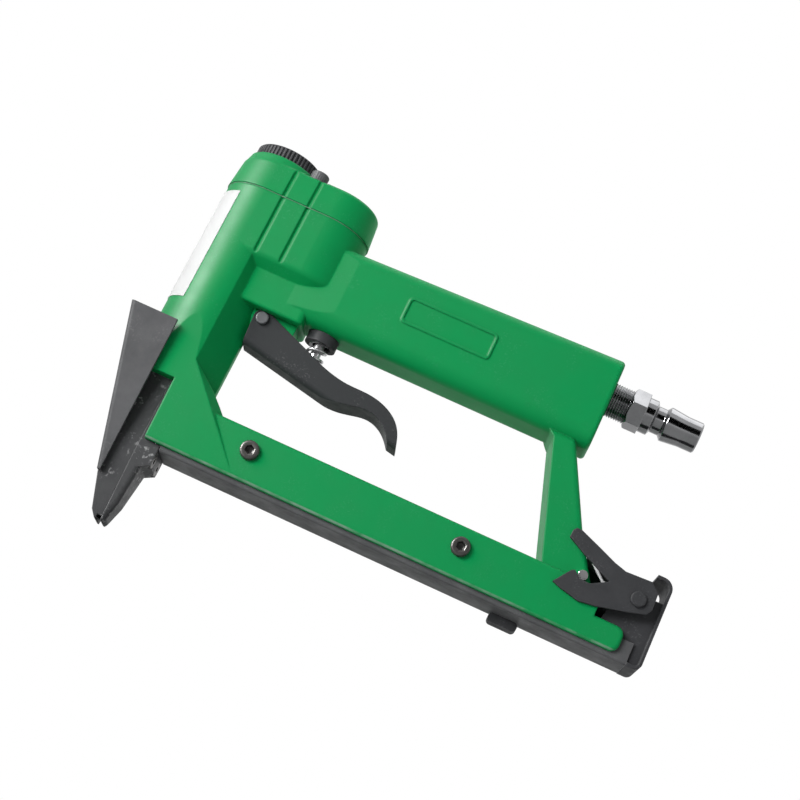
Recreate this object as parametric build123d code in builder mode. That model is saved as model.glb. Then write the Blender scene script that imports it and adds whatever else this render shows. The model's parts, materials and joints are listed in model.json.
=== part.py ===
"""Pneumatic picture frame nailer, in millimetres.

The origin is the muzzle tip on the drive axis. X runs to the rear, Z up along the drive axis,
and Y to the tool's left. Every piece is a solid of its own, drawn where it sits at rest.
"""
from build123d import *
import math
import os

os.makedirs("parts", exist_ok=True)

# Fits and clearances
running_fit = 0.05        # radial, between round pieces that turn or slide
slide_gap = 0.2           # between flat pieces that slide past each other
free_gap = 0.3            # between pieces that must never touch
sheet = 1.2               # thickness of the pressed steel pieces
overrun = 1.0             # how far a cut runs past the face it opens

# Barrel and valve head
barrel_radius = 16.1
barrel_bottom = 55.7
barrel_floor = 60.0       # top of the floor that carries the liner
deck_rise = 37.9          # joint between body and cap, above the grip's underside
flat_front = 66.5         # degrees from the rear to the front edge of the barrel's flats
flat_rear = 7.0
lobe_pitch = 25.3         # from the drive axis to the valve axis
head_skirt_drop = 23.6    # below this the flat-sided head narrows
head_drop = 27.0
head_round = 3.0
head_inset = 5.2          # how much narrower the head is at its bottom
groove_radius = 0.8
groove_front = 7.3        # grooves that set off the screw bosses
groove_rear = 17.3

# Grip
grip_taper_rear = 43.0    # from here forward the grip narrows to the trigger block's width
grip_rear = 146.3
grip_bottom = 96.5        # height of its underside above the muzzle
grip_height = 31.9        # at its front end
grip_rise = 3.8           # how much the top climbs towards the rear
grip_half_width = 12.5
grip_top_round = 5.0
grip_bottom_round = 7.0
grip_end_round = 1.5
inlet_depth = 12.0
duct_radius = 1.9         # air way from the inlet to the valves

# Trigger block and lug
block_rear = 34.0
block_drop = 2.4          # below the grip's underside
block_corner_round = 2.5
block_edge_round = 1.2
lug_half_width = 4.7
lug_front = 14.8
lug_rear = 32.0
lug_drop = 9.3
lug_nose = 3.2
lug_round = 3.0

# Rear strut
strut_half_width = 10.5
strut_sunk = 1.5          # how far its top runs into the grip
strut_neck_drop = 1.9
strut_front_top = 129.8
strut_front_neck = 133.1
strut_front_foot = (147.7, 49.0)
strut_rear_top = 140.5
strut_rear_knee = (156.3, 66.9)
strut_rear_foot = (171.0, 43.0)
strut_round = 3.5
strut_rear_round = 2.0

# Magazine rail
rail_front = 2.5
rail_half_width = 12.0
rail_wall = 2.5
rail_bottom = 32.2
rail_top = 50.9
rail_roof = 3.9
rail_edge_round = 1.4
ear_rear = 183.0
ear_top = 41.3
ear_round = 3.2
gusset_back = 21.0        # slanted corner between the barrel and the rail
gusset_height = 58.0
gusset_run = 4.5
gusset_lip = 3.0
foot_top = (6.2, 65.2)    # upper end of the rear edge of the foot's flat
foot_runout = 35.5        # where that edge meets the rail's side
foot_flank = 60.0         # degrees that the foot turns away behind that edge
foot_slope = 11.4         # rise per unit of width of the barrel's and the foot's sides

# Raised blank plaque on the grip
plaque_x = 83.0
plaque_rise_from_grip = 18.7
plaque_length = 35.0
plaque_height = 10.6
plaque_line = 0.9
plaque_rise = 0.45
plaque_round = 1.6

# Cap
gasket_thickness = 0.3
cap_overhang = 0.4        # how far its rim stands out from the body
cap_height = 12.6         # of its rear part
cap_dome_rise = 2.4       # how far the front stands above the rear
cap_dome_ease = 0.05      # keeps the raised front just inside the cap's side
cap_dome_draft = 1.3
cap_draft = 1.2           # how much narrower it is at its shoulder
cap_round = 2.0
cap_passage_depth = 6.2
cap_screw_x = 15.0
cap_screw_y = 11.2
cap_seat_depth = 3.1      # screw seats below the cap's top
cap_seat_half_length = 4.6
cap_screw_bite = 9.0      # thread in the body
cap_passage_half = 8.0

# Exhaust deflector
deflector_radius = 13.0
deflector_height = 4.6
deflector_grooves = 52
deflector_groove_radius = 0.45
deflector_round = 1.0
deflector_gap = 0.3
deflector_screw_shank = 2.0
deflector_screw_head = 3.6
deflector_screw_head_height = 2.2

# Liner, piston and driver
sleeve_radius = 12.5
sleeve_wall = 1.5
sleeve_ring_radius = 0.42
sleeve_ring_inset = 6.0   # from each end of the liner
ring_ease = 0.02          # keeps a seal just off the floor of its groove
piston_drop = 13.4        # from the deck to the piston's underside before a shot
piston_height = 9.0
piston_ring_radius = 0.95
piston_ring_inset = 3.0   # from the piston's top
stroke = 47.0
blade_thickness = 1.5
blade_half_width = 3.2
blade_seat = 5.0

# Main valve
main_bore = 9.5
main_depth = 23.4         # of its bore, below the deck
main_valve_height = 13.0
main_valve_wall = 3.0
main_ring_radius = 0.7
main_ring_inset = 4.0     # from the valve's top
main_spring_radius = 6.0
main_spring_wire = 1.2

# Trigger valve
valve_axis_x = 41.8
valve_body_radius = 6.0
valve_body_height = 16.2
valve_body_drop = 3.9     # below the grip's underside
valve_recess = 5.9        # for the spring
stem_radius = 2.0
stem_foot_radius = 4.1
stem_foot_drop = 12.9     # below the grip's underside
stem_foot_height = 1.4
stem_seat_drop = 18.82    # where the stem meets the trigger's web
stem_tip_round = 0.8

# Trigger spring
spring_wire = 1.2
spring_mean_radius = 3.35
spring_turns = 3.25
spring_end_rise = 2.3     # height of each end, from straight to wound

# Trigger
trigger_half_width = 6.2
trigger_pin_x = 19.3
trigger_pin_drop = 5.0    # below the grip's underside
trigger_pin_radius = 1.6
trigger_pin_head = 2.4
trigger_pin_head_height = 1.3
trigger_end_round = 3.5
trigger_pocket_run = 52.7  # from its pin to the end of its pocket
trigger_web_shift = (1.0, 1.4)
trigger_front_gap = 0.5   # between its web and the barrel
trigger_front_drop = 10.8  # below its pin
trigger_edge_round = 2.5
# Its outline, counted from the pin
trigger_back_end = (23.8, -5.5)
trigger_tail_points = [
    (31.2, -8.1), (38.7, -9.4), (46.9, -9.6), (53.7, -11.0), (60.9, -15.8),
    (64.0, -22.2), (64.6, -27.1),
]
trigger_tip_middle = (64.0, -28.1)
trigger_tip_end = (63.1, -27.6)
trigger_finger_points = [
    (60.2, -22.4), (56.2, -17.9), (49.9, -15.3), (42.7, -16.3), (35.5, -17.5),
    (29.3, -17.1),
]

# Air plug
plug_rise = 23.4          # above the grip's underside
plug_bore = 3.4
plug_thread_radius = 6.6
plug_thread_pitch = 0.9
plug_thread_depth = 0.55
plug_hex_across = 13.7
plug_hex_gap = 7.4        # thread left showing behind the grip
plug_hex_length = 6.0
plug_hex_bevel = 0.8
plug_hex_bevel_inset = 0.2
plug_shoulder_radius = 6.7
plug_shoulder_length = 3.4
plug_shoulder_slope = 0.8
plug_collar_start = 22.0
plug_collar_slope = 1.2
plug_collar_flat = 0.8
plug_neck_radius = 5.1
plug_collar_radius = 6.6
plug_tip_radius = 5.9
plug_tip_bevel = 0.5
plug_land = 6.0           # straight end that a coupler slides over
plug_stop_gap = 1.0       # from the end of its thread to the foot of its hole
plug_length = 35.0        # from the grip to the tip

# Fasteners
small_head = 3.5
small_head_height = 4.0
small_shank = 2.0
small_socket = 3.0        # across flats
socket_share = 0.6        # depth of a socket, as a share of its head
pin_head_round = 0.45
rail_head_height = 2.4
nose_head = 2.7
nose_head_height = 2.6
nose_shank = 1.5
nose_socket = 2.0

# Nose
nose_half_width = 8.8
nose_tip_half_width = 5.0
nose_shoulder = 27.0      # below this it narrows towards the tip
slot_half = 0.9           # half of the drive slot, front to back
nose_front_x = -7.0
nose_tip_z = 0.0
nose_tip_flat = 0.6
nose_tip_swell = 1.5      # how far its rear face stands back, just above the tip
nose_tip_rise = 1.2
nose_notch = 1.6          # gap that shows between the halves at the tip
nose_chin = (-3.5, 2.5)
nose_heel = (4.1, 8.1)
nose_round = 1.8
nose_calf = (5.4, 22.8)
nose_block_rear = 8.4
nose_block_bottom = 24.5
nose_shelf_rise = 4.0
nose_screw_reach = 4.5
nose_screw_y = 5.2
nose_screw_low = 26.8
nose_screw_high = 51.5
nose_screw_bite = 8.0

# Nose guard
guard_bottom = 15.6
guard_top = 74.0
guard_front_bottom = -7.9
guard_front_top = -23.2
guard_rear_bottom = -6.5
guard_rear_top = -4.9
guard_half_bottom = 10.2
guard_half_top = 19.9
guard_screw_z = 23.0
guard_screw_head = 2.6
guard_screw_length = 7.0
guard_seat_height = 18.0
guard_round = 1.6

# Magazine
channel_front = 8.8
channel_drop = 2.0        # channel floor below the rail's walls
channel_wall_height = 8.1
channel_rear = 187.5
channel_round = 1.0
bracket_front = 173.6
bracket_rear = 192.8
bracket_top = 55.6
bracket_lip_top = 64.4
bracket_lip_front = 186.2
bracket_lip_round = 4.2
bracket_foot_round = 2.6
bracket_slant = 3.0
tab_front = 137.9
tab_length = 11.0
tab_inner = 3.0
tab_outer = 9.3
tab_drop = 3.3
tab_round = 1.5
guide_slot_half = 3.8
guide_roof = 0.6
guide_rear = 168.0
rail_screw_z = 43.1
rail_screw_front_x = 38.3
rail_screw_rear_x = 119.5
rail_screw_length = 6.0
pusher_rear = 146.0
pusher_length = 18.0
roll_radius = 2.9
roll_half_width = 3.0
roll_pin_radius = 0.9
roll_pocket = 8.0

# Latch
latch_plate_gap = 0.4     # between the hook plates and the rail's sides
latch_pivot_x = 182.6
latch_pivot_z = 52.1
latch_rivet_radius = 1.7
latch_rivet_head = 2.8
rivet_head_height = 1.4
latch_shoulder = 2.6
latch_pin_x = 162.0
latch_pin_z = 52.3
latch_pin_radius = 1.8
latch_pin_depth = 4.0
latch_spring_wire = 0.55
latch_spring_bend = 2.0
# Outlines, counted from the pivot
latch_spring_tip = (-21.4, 7.9)
latch_spring_knee = (-13.7, 1.1)
latch_hook_points = [
    (-29.4, -6.5), (-25.0, -0.2), (-23.8, 0.4),
]
latch_mouth_rear = -17.3
latch_mouth_front = -21.2
latch_mouth_step = 0.5
latch_arm_points = [
    (-11.4, 1.6), (-22.6, 6.7), (-30.0, 10.5), (-29.9, 13.2), (-28.8, 14.5),
    (-27.0, 14.4),
]
latch_web_line = [
    (-20.7, 12.0), (-18.9, 11.3), (-12.2, 8.6), (-7.6, 7.3), (2.0, 7.8),
]
latch_heel_points = [
    (2.2, 7.8), (5.6, 4.7), (5.8, -1.5), (4.5, -3.7), (-2.5, -5.8),
    (-13.0, -8.4), (-19.0, -9.2), (-26.1, -7.6),
]

# Blank label
label_drop = 3.6          # its top below the deck
label_height = 46.1
label_thickness = 0.2
label_half_angle = 58.0   # degrees each side of the front


# Values worked out from the sizes above
deck_height = grip_bottom + deck_rise
head_skirt = deck_height - head_skirt_drop
head_bottom = deck_height - head_drop
block_bottom = grip_bottom - block_drop
block_half_width = barrel_radius - head_inset
lug_bottom = grip_bottom - lug_drop
piston_rest = deck_height - piston_drop
main_floor = deck_height - main_depth
stem_foot_bottom = grip_bottom - stem_foot_drop
stem_foot_seat = grip_bottom - stem_seat_drop
trigger_pin_z = grip_bottom - trigger_pin_drop
plug_axis_z = grip_bottom + plug_rise
label_top = deck_height - label_drop
label_bottom = label_top - label_height
cap_radius = barrel_radius + cap_overhang
cap_dome_foot = cap_radius - cap_draft * (cap_height - cap_round) / cap_height - cap_dome_ease
cap_bottom = deck_height + gasket_thickness
cap_shoulder = cap_bottom + cap_height
cap_top = cap_shoulder + cap_dome_rise
grip_top_front = grip_bottom + grip_height
grip_top_rear = grip_top_front + grip_rise
rail_inner = rail_half_width - rail_wall
lean_foot = rail_bottom + rail_edge_round
rail_ceiling = rail_top - rail_roof
sleeve_bore = sleeve_radius - sleeve_wall
channel_bottom = rail_bottom - channel_drop
channel_floor = channel_bottom + sheet
channel_half = rail_inner - slide_gap
channel_inner = channel_half - sheet
channel_top = channel_bottom + channel_wall_height
guide_bottom = channel_top + slide_gap
latch_inner = rail_half_width + latch_plate_gap
latch_outer = latch_inner + sheet
bumper_top = piston_rest - stroke - free_gap
valve_body_bottom = grip_bottom - valve_body_drop
spring_top = valve_body_bottom + valve_recess
spring_bottom = stem_foot_bottom + stem_foot_height
valve_body_top = valve_body_bottom + valve_body_height
inlet_foot = grip_rear - inlet_depth
cap_seat = cap_top - cap_seat_depth
cap_screw_places = [(cap_screw_x, -cap_screw_y), (cap_screw_x, cap_screw_y)]
deflector_bottom = cap_top + deflector_gap
deflector_top = deflector_bottom + deflector_height
deflector_seat = deflector_top - deflector_screw_head_height - slide_gap
sleeve_groove_radius = sleeve_radius - 2 * sleeve_ring_radius - ring_ease
sleeve_ring_places = (barrel_floor + sleeve_ring_inset, deck_height - sleeve_ring_inset)
piston_radius = sleeve_bore - running_fit
piston_ring_z = piston_rest + piston_height - piston_ring_inset
piston_groove_radius = piston_radius - 2 * piston_ring_radius - 2 * ring_ease
blade_top = piston_rest + blade_seat
main_valve_top = main_floor + main_valve_height
main_valve_cup = main_spring_radius + free_gap
main_ring_z = main_valve_top - main_ring_inset
main_groove_radius = main_bore - running_fit - 2 * main_ring_radius - 2 * ring_ease
roll_front = pusher_rear - roll_pocket
roll_x = pusher_rear - roll_pocket / 2
roll_z = channel_floor + roll_radius + free_gap
latch_spring_y = latch_inner - latch_spring_wire - running_fit
latch_loop_radius = latch_shoulder + latch_spring_wire + free_gap
spring_pitch = (spring_top - spring_bottom - 2 * spring_end_rise) / spring_turns


def block(x0, x1, half_width, z0, z1, mode=Mode.ADD):
    """A box across the centre plane, between two X and two Z values."""
    with BuildSketch(Plane.XY.offset(z0)) as outline:
        with Locations(((x0 + x1) / 2, 0)):
            Rectangle(x1 - x0, 2 * half_width)
    extrude(outline.sketch, amount=z1 - z0, mode=mode)


def upright(x, y, radius, z0, z1, mode=Mode.ADD):
    """A round bar or bore along Z."""
    with BuildSketch(Plane.XY.offset(z0)) as outline:
        with Locations((x, y)):
            Circle(radius)
    extrude(outline.sketch, amount=z1 - z0, mode=mode)


def crosswise(x, z, radius, y0, y1, mode=Mode.ADD):
    """A round bar or bore along Y."""
    with BuildSketch(Plane.XZ.offset(-y0)) as outline:
        with Locations((x, z)):
            Circle(radius)
    extrude(outline.sketch, amount=y0 - y1, mode=mode)


def lengthwise(y, z, radius, x0, x1, mode=Mode.ADD):
    """A round bar or bore along X."""
    with BuildSketch(Plane.YZ.offset(x0)) as outline:
        with Locations((y, z)):
            Circle(radius)
    extrude(outline.sketch, amount=x1 - x0, mode=mode)


def lean_half_width(height):
    """Half width between the leaning sides of the barrel and the foot."""
    return rail_half_width + (height - lean_foot) / foot_slope


def side_profile(points, half_width, mode=Mode.ADD):
    """A closed outline of X and Z values, carried to both sides of the centre plane."""
    with BuildSketch(Plane.XZ) as outline:
        with BuildLine():
            Polyline(points, close=True)
        make_face()
    extrude(outline.sketch, amount=half_width, both=True, mode=mode)


def side_plates(points, inner, outer):
    """The same outline as two flat plates, one on each side of the centre plane."""
    with BuildSketch(Plane.XZ.offset(inner)) as near:
        with BuildLine():
            Polyline(points, close=True)
        make_face()
    extrude(near.sketch, amount=outer - inner)
    with BuildSketch(Plane.XZ.offset(-outer)) as far:
        with BuildLine():
            Polyline(points, close=True)
        make_face()
    extrude(far.sketch, amount=outer - inner)


def obround(z0, z1, radius, mode=Mode.ADD):
    """The head's outline: two lobes and the flat sides between them."""
    with BuildSketch(Plane.XY.offset(z0)) as outline:
        with Locations((lobe_pitch / 2, 0)):
            SlotCenterToCenter(lobe_pitch, 2 * radius)
    extrude(outline.sketch, amount=z1 - z0, mode=mode)


def socket_screw(seat, head, head_height, shank, length, socket):
    """One socket screw; the seat plane lies under the head and faces out of it."""
    with BuildSketch(seat) as head_outline:
        Circle(head)
    extrude(head_outline.sketch, amount=head_height)
    with BuildSketch(seat) as shank_outline:
        Circle(shank)
    extrude(shank_outline.sketch, amount=-length)
    with BuildSketch(seat.offset(head_height)) as socket_outline:
        RegularPolygon(socket / math.sqrt(3), 6)
    extrude(socket_outline.sketch, amount=-socket_share * head_height, mode=Mode.SUBTRACT)


# Body housing: forms that are rounded by themselves, then joined
with BuildPart() as grip_form:
    with BuildSketch(Plane.XZ):
        with BuildLine():
            Polyline(
                (lobe_pitch, grip_bottom),
                (grip_rear, grip_bottom),
                (grip_rear, grip_top_rear),
                (lobe_pitch, grip_top_front),
                close=True,
            )
        make_face()
    extrude(amount=grip_half_width, both=True)
    long_edge = 0.9 * (grip_rear - lobe_pitch)
    fillet(edges().filter_by(lambda edge: edge.length > long_edge).group_by(Axis.Z)[0], grip_bottom_round)
    fillet(edges().filter_by(lambda edge: edge.length > long_edge).group_by(Axis.Z)[-1], grip_top_round)
    fillet(faces().sort_by(Axis.X)[-1].edges(), grip_end_round)
    for side in (-1, 1):
        with BuildSketch(Plane.XY.offset(grip_bottom - overrun)):
            with BuildLine():
                Polyline(
                    (lobe_pitch - overrun, side * block_half_width),
                    (lobe_pitch, side * block_half_width),
                    (grip_taper_rear, side * grip_half_width),
                    (grip_taper_rear, side * (grip_half_width + overrun)),
                    (lobe_pitch - overrun, side * (grip_half_width + overrun)),
                    close=True,
                )
            make_face()
        extrude(amount=grip_height + grip_rise + 2 * overrun, mode=Mode.SUBTRACT)

with BuildPart() as strut_form:
    side_profile(
        [
            (strut_front_neck, grip_bottom - strut_neck_drop),
            (strut_front_top, grip_bottom + strut_sunk),
            (strut_rear_top, grip_bottom + strut_sunk),
            strut_rear_knee,
            strut_rear_foot,
            strut_front_foot,
        ],
        strut_half_width,
    )
    strut_edges = edges().filter_by(lambda edge: abs(edge.center().Y) > 0.99 * strut_half_width)
    strut_edges = strut_edges.filter_by(lambda edge: edge.center().Z > rail_top)
    strut_edges = strut_edges.filter_by(lambda edge: edge.length > 2 * strut_round)
    fillet(strut_edges.sort_by(Axis.X)[:2], strut_round)
    fillet(strut_edges.sort_by(Axis.X)[2:], strut_rear_round)

with BuildPart() as rail_form:
    with BuildSketch(Plane.XZ) as rail_outline:
        with BuildLine():
            Polyline(
                (rail_front, rail_bottom),
                (rail_front, rail_top),
                (strut_rear_foot[0], rail_top),
                (strut_rear_foot[0], ear_top),
                (ear_rear, ear_top),
                (ear_rear, rail_bottom),
                close=True,
            )
        make_face()
        fillet(rail_outline.vertices().group_by(Axis.X)[-1], ear_round)
    extrude(amount=rail_half_width, both=True)
    side_edges = edges().filter_by(lambda edge: abs(edge.center().Y) > 0.99 * rail_half_width)
    fillet(side_edges.filter_by(Axis.X), rail_edge_round)

with BuildPart() as foot_form:
    side_profile(
        [
            (rail_front, lean_foot),
            (rail_front, foot_top[1]),
            foot_top,
            (gusset_back - gusset_run, gusset_height),
            (gusset_back, rail_top + gusset_lip),
            (gusset_back + gusset_lip, rail_top),
            (foot_runout, rail_top),
            (foot_runout, lean_foot),
        ],
        lean_half_width(foot_top[1]),
    )
    for side in (-1, 1):
        # Its flat leans in until it meets the rail's side at the bottom
        edge_top = Vector(foot_top[0], side * lean_half_width(foot_top[1]), foot_top[1])
        edge_low = Vector(foot_runout, side * rail_half_width, lean_foot)
        lean = Vector(0, side * foot_slope, -1).normalized()
        # Behind the flat's rear edge it turns away towards the gusset
        away = lean.cross((edge_low - edge_top).normalized()) * -side
        flank = lean * math.cos(math.radians(foot_flank)) + away * math.sin(math.radians(foot_flank))
        for facing in (lean, flank):
            with BuildSketch(Plane(edge_top, z_dir=facing)):
                Rectangle(8 * rail_half_width, 8 * rail_half_width)
            extrude(amount=2 * rail_half_width, mode=Mode.SUBTRACT)

with BuildPart() as lug_form:
    side_profile(
        [
            (lug_front, head_bottom),
            (lug_front, trigger_pin_z),
            (trigger_pin_x - lug_nose, lug_bottom),
            (lug_rear, lug_bottom),
            (lug_rear, head_bottom),
        ],
        lug_half_width,
    )
    fillet(edges().filter_by(Axis.Y).group_by(Axis.Z)[0].sort_by(Axis.X)[-1], lug_round)

with BuildPart() as head_form:
    obround(head_skirt, deck_height, barrel_radius)
    for height, radius in ((head_bottom, block_half_width), (head_skirt, barrel_radius)):
        with BuildSketch(Plane.XY.offset(height)):
            with Locations((lobe_pitch / 2, 0)):
                SlotCenterToCenter(lobe_pitch, 2 * radius)
    loft(ruled=True)
    skirt_edges = edges().filter_by(lambda edge: abs(edge.center().Z - head_skirt) < overrun / 2)
    fillet(skirt_edges, head_round)

with BuildPart() as block_form:
    block(0, block_rear, block_half_width, block_bottom, head_bottom)
    fillet(edges().filter_by(Axis.Z).group_by(Axis.X)[-1], block_corner_round)
    fillet(faces().sort_by(Axis.Z)[0].edges(), block_edge_round)

with BuildPart() as body_housing:
    # Barrel, with its lower sides leaning in to the width of the rail and flats behind them
    upright(0, 0, barrel_radius, barrel_bottom, deck_height)
    flat_half = math.radians(flat_front - flat_rear) / 2
    for side in (-1, 1):
        with BuildSketch(Plane.YZ.offset(-2 * barrel_radius)):
            with BuildLine():
                Polyline(
                    (side * lean_half_width(barrel_bottom), barrel_bottom),
                    (side * 2 * barrel_radius, barrel_bottom),
                    (side * 2 * barrel_radius, deck_height),
                    (side * lean_half_width(deck_height), deck_height),
                    close=True,
                )
            make_face()
        extrude(amount=4 * barrel_radius, mode=Mode.SUBTRACT)
        flat_way = side * math.radians(flat_front + flat_rear) / 2
        flat_facing = Vector(math.cos(flat_way), math.sin(flat_way), 0)
        with BuildSketch(Plane(flat_facing * barrel_radius * math.cos(flat_half), z_dir=flat_facing)):
            Rectangle(2 * deck_height, 2 * deck_height)
        extrude(amount=barrel_radius, mode=Mode.SUBTRACT)

    # Valve head, narrowing below the skirt
    add(head_form.part)
    for groove_x in (groove_front, groove_rear):
        for side in (-1, 1):
            upright(
                groove_x, side * barrel_radius, groove_radius, head_skirt, deck_height, mode=Mode.SUBTRACT
            )

    # Trigger block, hollowed for the trigger's ends, and the lug that the trigger straddles
    add(block_form.part)
    block(
        trigger_pin_x - trigger_end_round - free_gap, lug_rear,
        trigger_half_width + 2 * free_gap, block_bottom,
        trigger_pin_z + trigger_end_round + free_gap, mode=Mode.SUBTRACT,
    )
    add(lug_form.part)

    add(grip_form.part)
    add(strut_form.part)
    add(rail_form.part)
    add(foot_form.part)

    # Raised outline of the blank plaque
    with BuildSketch(Plane.XZ.offset(grip_half_width)):
        with Locations((plaque_x, grip_bottom + plaque_rise_from_grip)):
            RectangleRounded(plaque_length, plaque_height, plaque_round)
            RectangleRounded(
                plaque_length - 2 * plaque_line, plaque_height - 2 * plaque_line,
                plaque_round - plaque_line / 2, mode=Mode.SUBTRACT,
            )
    extrude(amount=plaque_rise)

    # Liner bore and the slot that the driver runs through
    upright(0, 0, sleeve_radius + running_fit, barrel_floor, deck_height, mode=Mode.SUBTRACT)
    block(
        -slot_half, slot_half, blade_half_width + free_gap, barrel_bottom,
        barrel_floor, mode=Mode.SUBTRACT,
    )

    # Main valve bore, trigger valve bore, air inlet and the duct between them
    upright(lobe_pitch, 0, main_bore, main_floor, deck_height, mode=Mode.SUBTRACT)
    upright(
        valve_axis_x, 0, valve_body_radius + running_fit, lug_bottom, valve_body_top, mode=Mode.SUBTRACT
    )
    upright(valve_axis_x, 0, stem_radius + free_gap, valve_body_top, plug_axis_z, mode=Mode.SUBTRACT)
    lengthwise(0, plug_axis_z, duct_radius, lobe_pitch, inlet_foot + overrun, mode=Mode.SUBTRACT)
    lengthwise(0, plug_axis_z, plug_thread_radius, inlet_foot, grip_rear + overrun, mode=Mode.SUBTRACT)

    # Magazine space under the rail, open at the bottom and at both ends
    block(
        rail_front - overrun, ear_rear + overrun, rail_inner, rail_bottom - overrun,
        rail_ceiling, mode=Mode.SUBTRACT,
    )

    # Holes for the pins and screws
    crosswise(
        trigger_pin_x, trigger_pin_z, trigger_pin_radius, -lug_half_width - overrun,
        lug_half_width + overrun, mode=Mode.SUBTRACT,
    )
    for side in (-1, 1):
        crosswise(
            latch_pin_x, latch_pin_z, latch_pin_radius,
            side * (strut_half_width - latch_pin_depth), side * (rail_half_width + overrun),
            mode=Mode.SUBTRACT,
        )
        for screw_x in (rail_screw_front_x, rail_screw_rear_x):
            crosswise(
                screw_x, rail_screw_z, small_shank, side * (rail_inner - overrun),
                side * (rail_half_width + overrun), mode=Mode.SUBTRACT,
            )
        lengthwise(
            side * nose_screw_y, nose_screw_high, nose_shank, rail_front - overrun,
            rail_front + nose_screw_bite, mode=Mode.SUBTRACT,
        )
    for screw_x, screw_y in cap_screw_places:
        upright(
            screw_x, screw_y, small_shank, deck_height - cap_screw_bite,
            deck_height + overrun, mode=Mode.SUBTRACT,
        )
body_housing.part.label = "body_housing"
export_step(body_housing.part, "parts/body_housing.step")

# Cap, gasket and exhaust deflector
with BuildPart() as cap_gasket:
    obround(deck_height, cap_bottom, barrel_radius)
    upright(0, 0, sleeve_bore, deck_height, cap_bottom, mode=Mode.SUBTRACT)
    upright(lobe_pitch, 0, main_bore, deck_height, cap_bottom, mode=Mode.SUBTRACT)
    for screw_x, screw_y in cap_screw_places:
        upright(screw_x, screw_y, small_shank, deck_height, cap_bottom, mode=Mode.SUBTRACT)
cap_gasket.part.label = "cap_gasket"
export_step(cap_gasket.part, "parts/cap_gasket.step")

with BuildPart() as cylinder_cap:
    for height, radius in ((cap_bottom, cap_radius), (cap_shoulder, cap_radius - cap_draft)):
        with BuildSketch(Plane.XY.offset(height)):
            with Locations((lobe_pitch / 2, 0)):
                SlotCenterToCenter(lobe_pitch, 2 * radius)
    loft(ruled=True)
    fillet(faces().sort_by(Axis.Z)[-1].edges(), cap_round)
    for height, radius in (
        (cap_shoulder - cap_round, cap_dome_foot),
        (cap_top, cap_dome_foot - cap_dome_draft),
    ):
        with BuildSketch(Plane.XY.offset(height)):
            Circle(radius)
    loft(ruled=True)
    for groove_x in (groove_front, groove_rear):
        for side in (-1, 1):
            for height, radius in ((cap_bottom, cap_radius), (cap_shoulder, cap_radius - cap_draft)):
                with BuildSketch(Plane.XY.offset(height)):
                    with Locations((groove_x, side * radius)):
                        Circle(groove_radius)
            loft(mode=Mode.SUBTRACT)
    for side in (-1, 1):
        with BuildSketch(Plane.XY.offset(cap_seat)):
            with Locations((cap_screw_x, side * cap_screw_y)):
                Circle(cap_seat_half_length)
            with Locations((cap_screw_x, side * (cap_screw_y + cap_seat_half_length))):
                Rectangle(2 * cap_seat_half_length, 2 * cap_seat_half_length)
        extrude(amount=cap_seat_depth, mode=Mode.SUBTRACT)
    for screw_x, screw_y in cap_screw_places:
        upright(screw_x, screw_y, small_shank, cap_bottom, cap_seat, mode=Mode.SUBTRACT)
    with BuildSketch(Plane.XY.offset(cap_bottom)):
        with Locations((lobe_pitch / 2, 0)):
            SlotCenterToCenter(lobe_pitch, 2 * cap_passage_half)
    extrude(amount=cap_passage_depth, mode=Mode.SUBTRACT)
    upright(0, 0, deflector_screw_shank, cap_bottom + cap_passage_depth, cap_top, mode=Mode.SUBTRACT)
cylinder_cap.part.label = "cylinder_cap"
export_step(cylinder_cap.part, "parts/cylinder_cap.step")

with BuildPart() as cap_screws:
    for screw_x, screw_y in cap_screw_places:
        seat = Plane(origin=(screw_x, screw_y, cap_seat))
        socket_screw(
            seat, small_head, small_head_height, small_shank,
            cap_seat - deck_height + cap_screw_bite, small_socket,
        )
cap_screws.part.label = "cap_screws"
export_step(cap_screws.part, "parts/cap_screws.step")

with BuildPart() as exhaust_deflector:
    upright(0, 0, deflector_radius, deflector_bottom, deflector_top)
    fillet(faces().sort_by(Axis.Z)[-1].edges(), deflector_round)
    with BuildSketch(Plane.XY.offset(deflector_bottom)):
        with PolarLocations(deflector_radius, deflector_grooves):
            Circle(deflector_groove_radius)
    extrude(amount=deflector_height, mode=Mode.SUBTRACT)
    upright(
        0, 0, deflector_screw_shank + running_fit, deflector_bottom, deflector_top, mode=Mode.SUBTRACT
    )
    upright(0, 0, deflector_screw_head + free_gap, deflector_seat, deflector_top, mode=Mode.SUBTRACT)
exhaust_deflector.part.label = "exhaust_deflector"
export_step(exhaust_deflector.part, "parts/exhaust_deflector.step")

with BuildPart() as deflector_screw:
    seat = Plane.XY.offset(deflector_seat + slide_gap)
    socket_screw(seat, deflector_screw_head, deflector_screw_head_height, deflector_screw_shank,
                 deflector_seat + slide_gap - cap_bottom - cap_passage_depth, nose_socket)
deflector_screw.part.label = "deflector_screw"
export_step(deflector_screw.part, "parts/deflector_screw.step")

# Liner, seals, piston, driver and bumper
with BuildPart() as cylinder_sleeve:
    upright(0, 0, sleeve_radius, barrel_floor, deck_height)
    upright(0, 0, sleeve_bore, barrel_floor, deck_height, mode=Mode.SUBTRACT)
    for ring_z in sleeve_ring_places:
        with BuildSketch(Plane.XY.offset(ring_z - sleeve_ring_radius - running_fit)):
            Circle(sleeve_radius)
            Circle(sleeve_groove_radius, mode=Mode.SUBTRACT)
        extrude(amount=2 * (sleeve_ring_radius + running_fit), mode=Mode.SUBTRACT)
cylinder_sleeve.part.label = "cylinder_sleeve"
export_step(cylinder_sleeve.part, "parts/cylinder_sleeve.step")

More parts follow.
